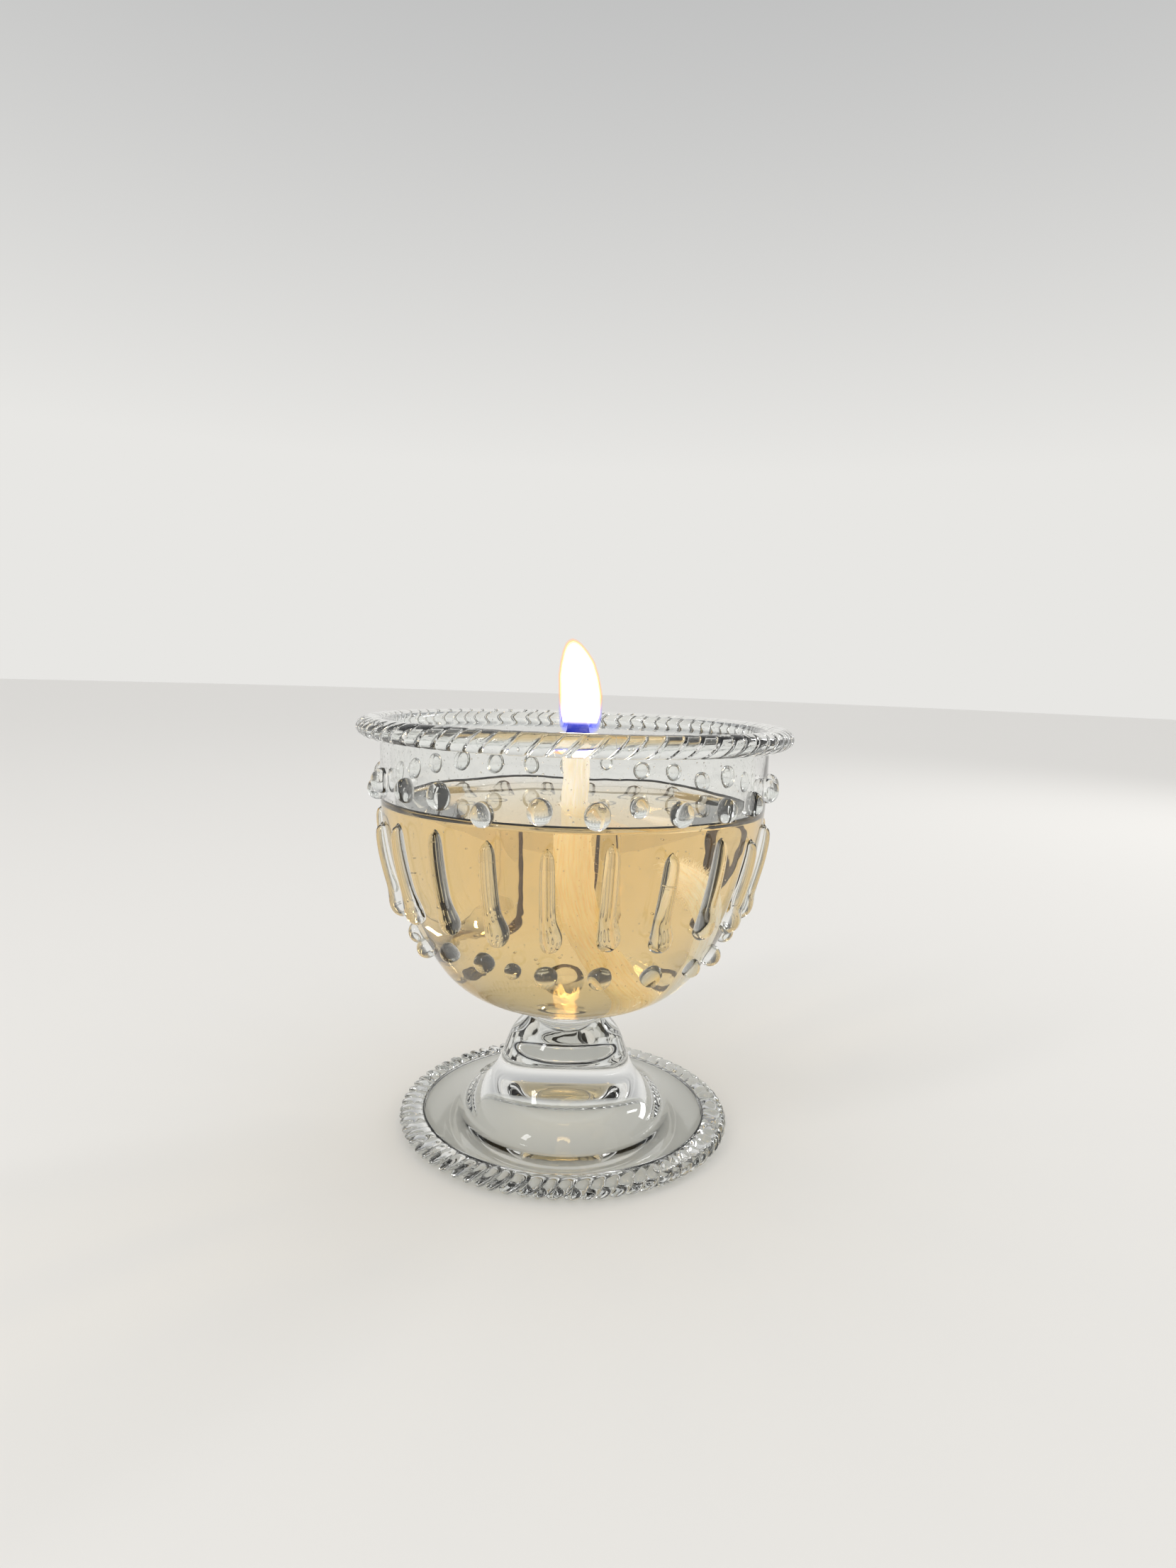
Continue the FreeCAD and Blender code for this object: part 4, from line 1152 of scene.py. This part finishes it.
# %% Air
air_seed, tree = new_material("air_seed_in_glass")
shader = add(tree, "ShaderNodeBsdfPrincipled", {
    "Base Color": colour("#FFFFFF"), "Roughness": 0.02, "IOR": 1.3, "Transmission Weight": 1.0,
})
through = let_light_pass(tree, shader, add(tree, "ShaderNodeBsdfTransparent"))
add(tree, "ShaderNodeOutputMaterial", [through])
print("air:", air_seed.name)

# %% Node tree of the seeds
seed_tree, given = begin_tree("seeds_in_the_wall", {
    "Seeds in the bowl": "Float", "Seeds in the neck": "Float", "Bowl below": "Float",
    "Neck above": "Float", "Smallest": "Float", "Largest": "Float", "Seed": "Int", "Air": "Material",
})
place = add(seed_tree, "ShaderNodeSeparateXYZ", [add(seed_tree, "GeometryNodeInputPosition")])
crowd = add(seed_tree, "ShaderNodeMapRange", {
    "Value": place.outputs["Z"], "From Min": given["Bowl below"], "From Max": given["Neck above"],
    "To Min": given["Seeds in the bowl"], "To Max": given["Seeds in the neck"],
})
scatter = add(seed_tree, "GeometryNodeDistributePointsOnFaces", {
    "Mesh": given["Geometry"], "Density": crowd, "Seed": given["Seed"],
})
grain = add(seed_tree, "GeometryNodeMeshUVSphere", {"Radius": 1.0, "Segments": 6, "Rings": 4})
chance = add(seed_tree, "FunctionNodeRandomValue", {2: 0.0, 3: 1.0, "Seed": 5}, data_type="FLOAT")
mostly_small = add(seed_tree, "ShaderNodeMath", [chance.outputs[1], 3.0], operation="POWER")
grain_size = add(seed_tree, "ShaderNodeMapRange", {
    "Value": mostly_small, "To Min": given["Smallest"], "To Max": given["Largest"],
})
grains = add(seed_tree, "GeometryNodeInstanceOnPoints", {
    "Points": scatter, "Instance": grain, "Scale": grain_size,
})
end_tree(seed_tree, grains, given["Air"])
print("seed tree of", len(seed_tree.nodes), "nodes")

# %% Seed bubbles
sheet_rows = outline[6::3] - outward[6::3] * WALL / 2
sheet_turns = TURNS[::4]
count = len(sheet_turns)
sheet_points = [
    (radius * math.cos(turn) * MM, radius * math.sin(turn) * MM, height * MM)
    for radius, height in sheet_rows for turn in sheet_turns
]
sheet_faces = [
    (here + column, here + (column + 1) % count, here + count + (column + 1) % count, here + count + column)
    for here in range(0, count * (len(sheet_rows) - 1), count) for column in range(count)
]
sheet = bpy.data.meshes.new("middle_of_wall")
sheet.from_pydata(sheet_points, [], sheet_faces)
seeds = grow("seed_bubbles", seed_tree, {
    "Seeds in the bowl": 200000.0, "Seeds in the neck": 650000.0, "Bowl below": 54.0 * MM,
    "Neck above": 62.0 * MM, "Smallest": 0.05 * MM, "Largest": 0.16 * MM, "Seed": 11, "Air": air_seed,
}, sheet)
belongs(seeds, "lamp", "clear_glass")
print("bubbles of", len(seeds.data.polygons), "faces")

# %% [markdown]
# ## Floor, world and lamps
#
# The lamp stands on a plain pale table, under a pale world and two narrow sheets of light. The
# table's paint is matt and has no pattern, so it shows only the lamp's soft shadow. Glass has no
# colour of its own: its edges show because they bend the view to somewhere darker. So the world
# that the camera, the gleams and the glass see is pale round the horizon and greyer overhead. What
# lights the matt surfaces is even and white.

# %% Floor
FLOOR_RADIUS, FLOOR_DROP, FLOOR_SIDES = 3.0, 0.02 * MM, 96
floor_paint, tree = new_material("pale_matt_table_paint")
shader = add(tree, "ShaderNodeBsdfPrincipled", {
    "Base Color": colour("#E9E7E3"), "Roughness": 0.75, "Specular IOR Level": 0.2,
})
add(tree, "ShaderNodeOutputMaterial", [shader])
floor_rim = [
    (FLOOR_RADIUS * math.cos(turn), FLOOR_RADIUS * math.sin(turn), -FLOOR_DROP)
    for turn in np.linspace(0, FULL_TURN, FLOOR_SIDES, endpoint=False)
]
table = new_piece("table", floor_rim, [range(len(floor_rim))], floor_paint)
print("floor of", 2 * FLOOR_RADIUS, "m")

# %% World
EVEN_LIGHT = 0.88
world = bpy.data.worlds.new("studio")
bpy.context.scene.world = world
world.use_nodes = True
tree = world.node_tree
tree.nodes.clear()
way = add(tree, "ShaderNodeSeparateXYZ", [add(tree, "ShaderNodeTexCoord").outputs["Generated"]])
sky = add(tree, "ShaderNodeValToRGB", {"Fac": way.outputs["Z"]}, [
    (0.2, colour("#E8E7E4")), (0.8, colour("#9EA0A3")),
])
seen = add(tree, "ShaderNodeBackground", [sky, 1.0])
even = add(tree, "ShaderNodeBackground", [colour("#FFFFFF"), EVEN_LIGHT])
ray = add(tree, "ShaderNodeLightPath").outputs
looked_at = ray["Is Camera Ray"]
for kind in ("Is Glossy Ray", "Is Transmission Ray"):
    looked_at = add(tree, "ShaderNodeMath", [looked_at, ray[kind]], operation="MAXIMUM")
add(tree, "ShaderNodeOutputWorld", [add(tree, "ShaderNodeMixShader", [looked_at, even, seen])])
print("world:", world.name)

# %% Lamps and view
LAMP_AIM = Vector((0, 0, 45)) * MM
for lamp_name, spot, size, watts in (
    ("window_sheet", (-0.50, -0.42, 0.46), (0.09, 0.24), 0.9),
    ("rear_sheet", (0.52, 0.42, 0.42), (0.07, 0.22), 0.7),
):
    lamp = bpy.data.lights.new(lamp_name, "AREA")
    lamp.shape = "RECTANGLE"
    lamp.size, lamp.size_y = size
    lamp.energy = watts
    holder = bpy.data.objects.new(lamp_name, lamp)
    bpy.context.scene.collection.objects.link(holder)
    holder.location = spot
    holder.rotation_euler = (LAMP_AIM - Vector(spot)).to_track_quat("-Z", "Y").to_euler()
bpy.context.scene.view_settings.view_transform = "Standard"
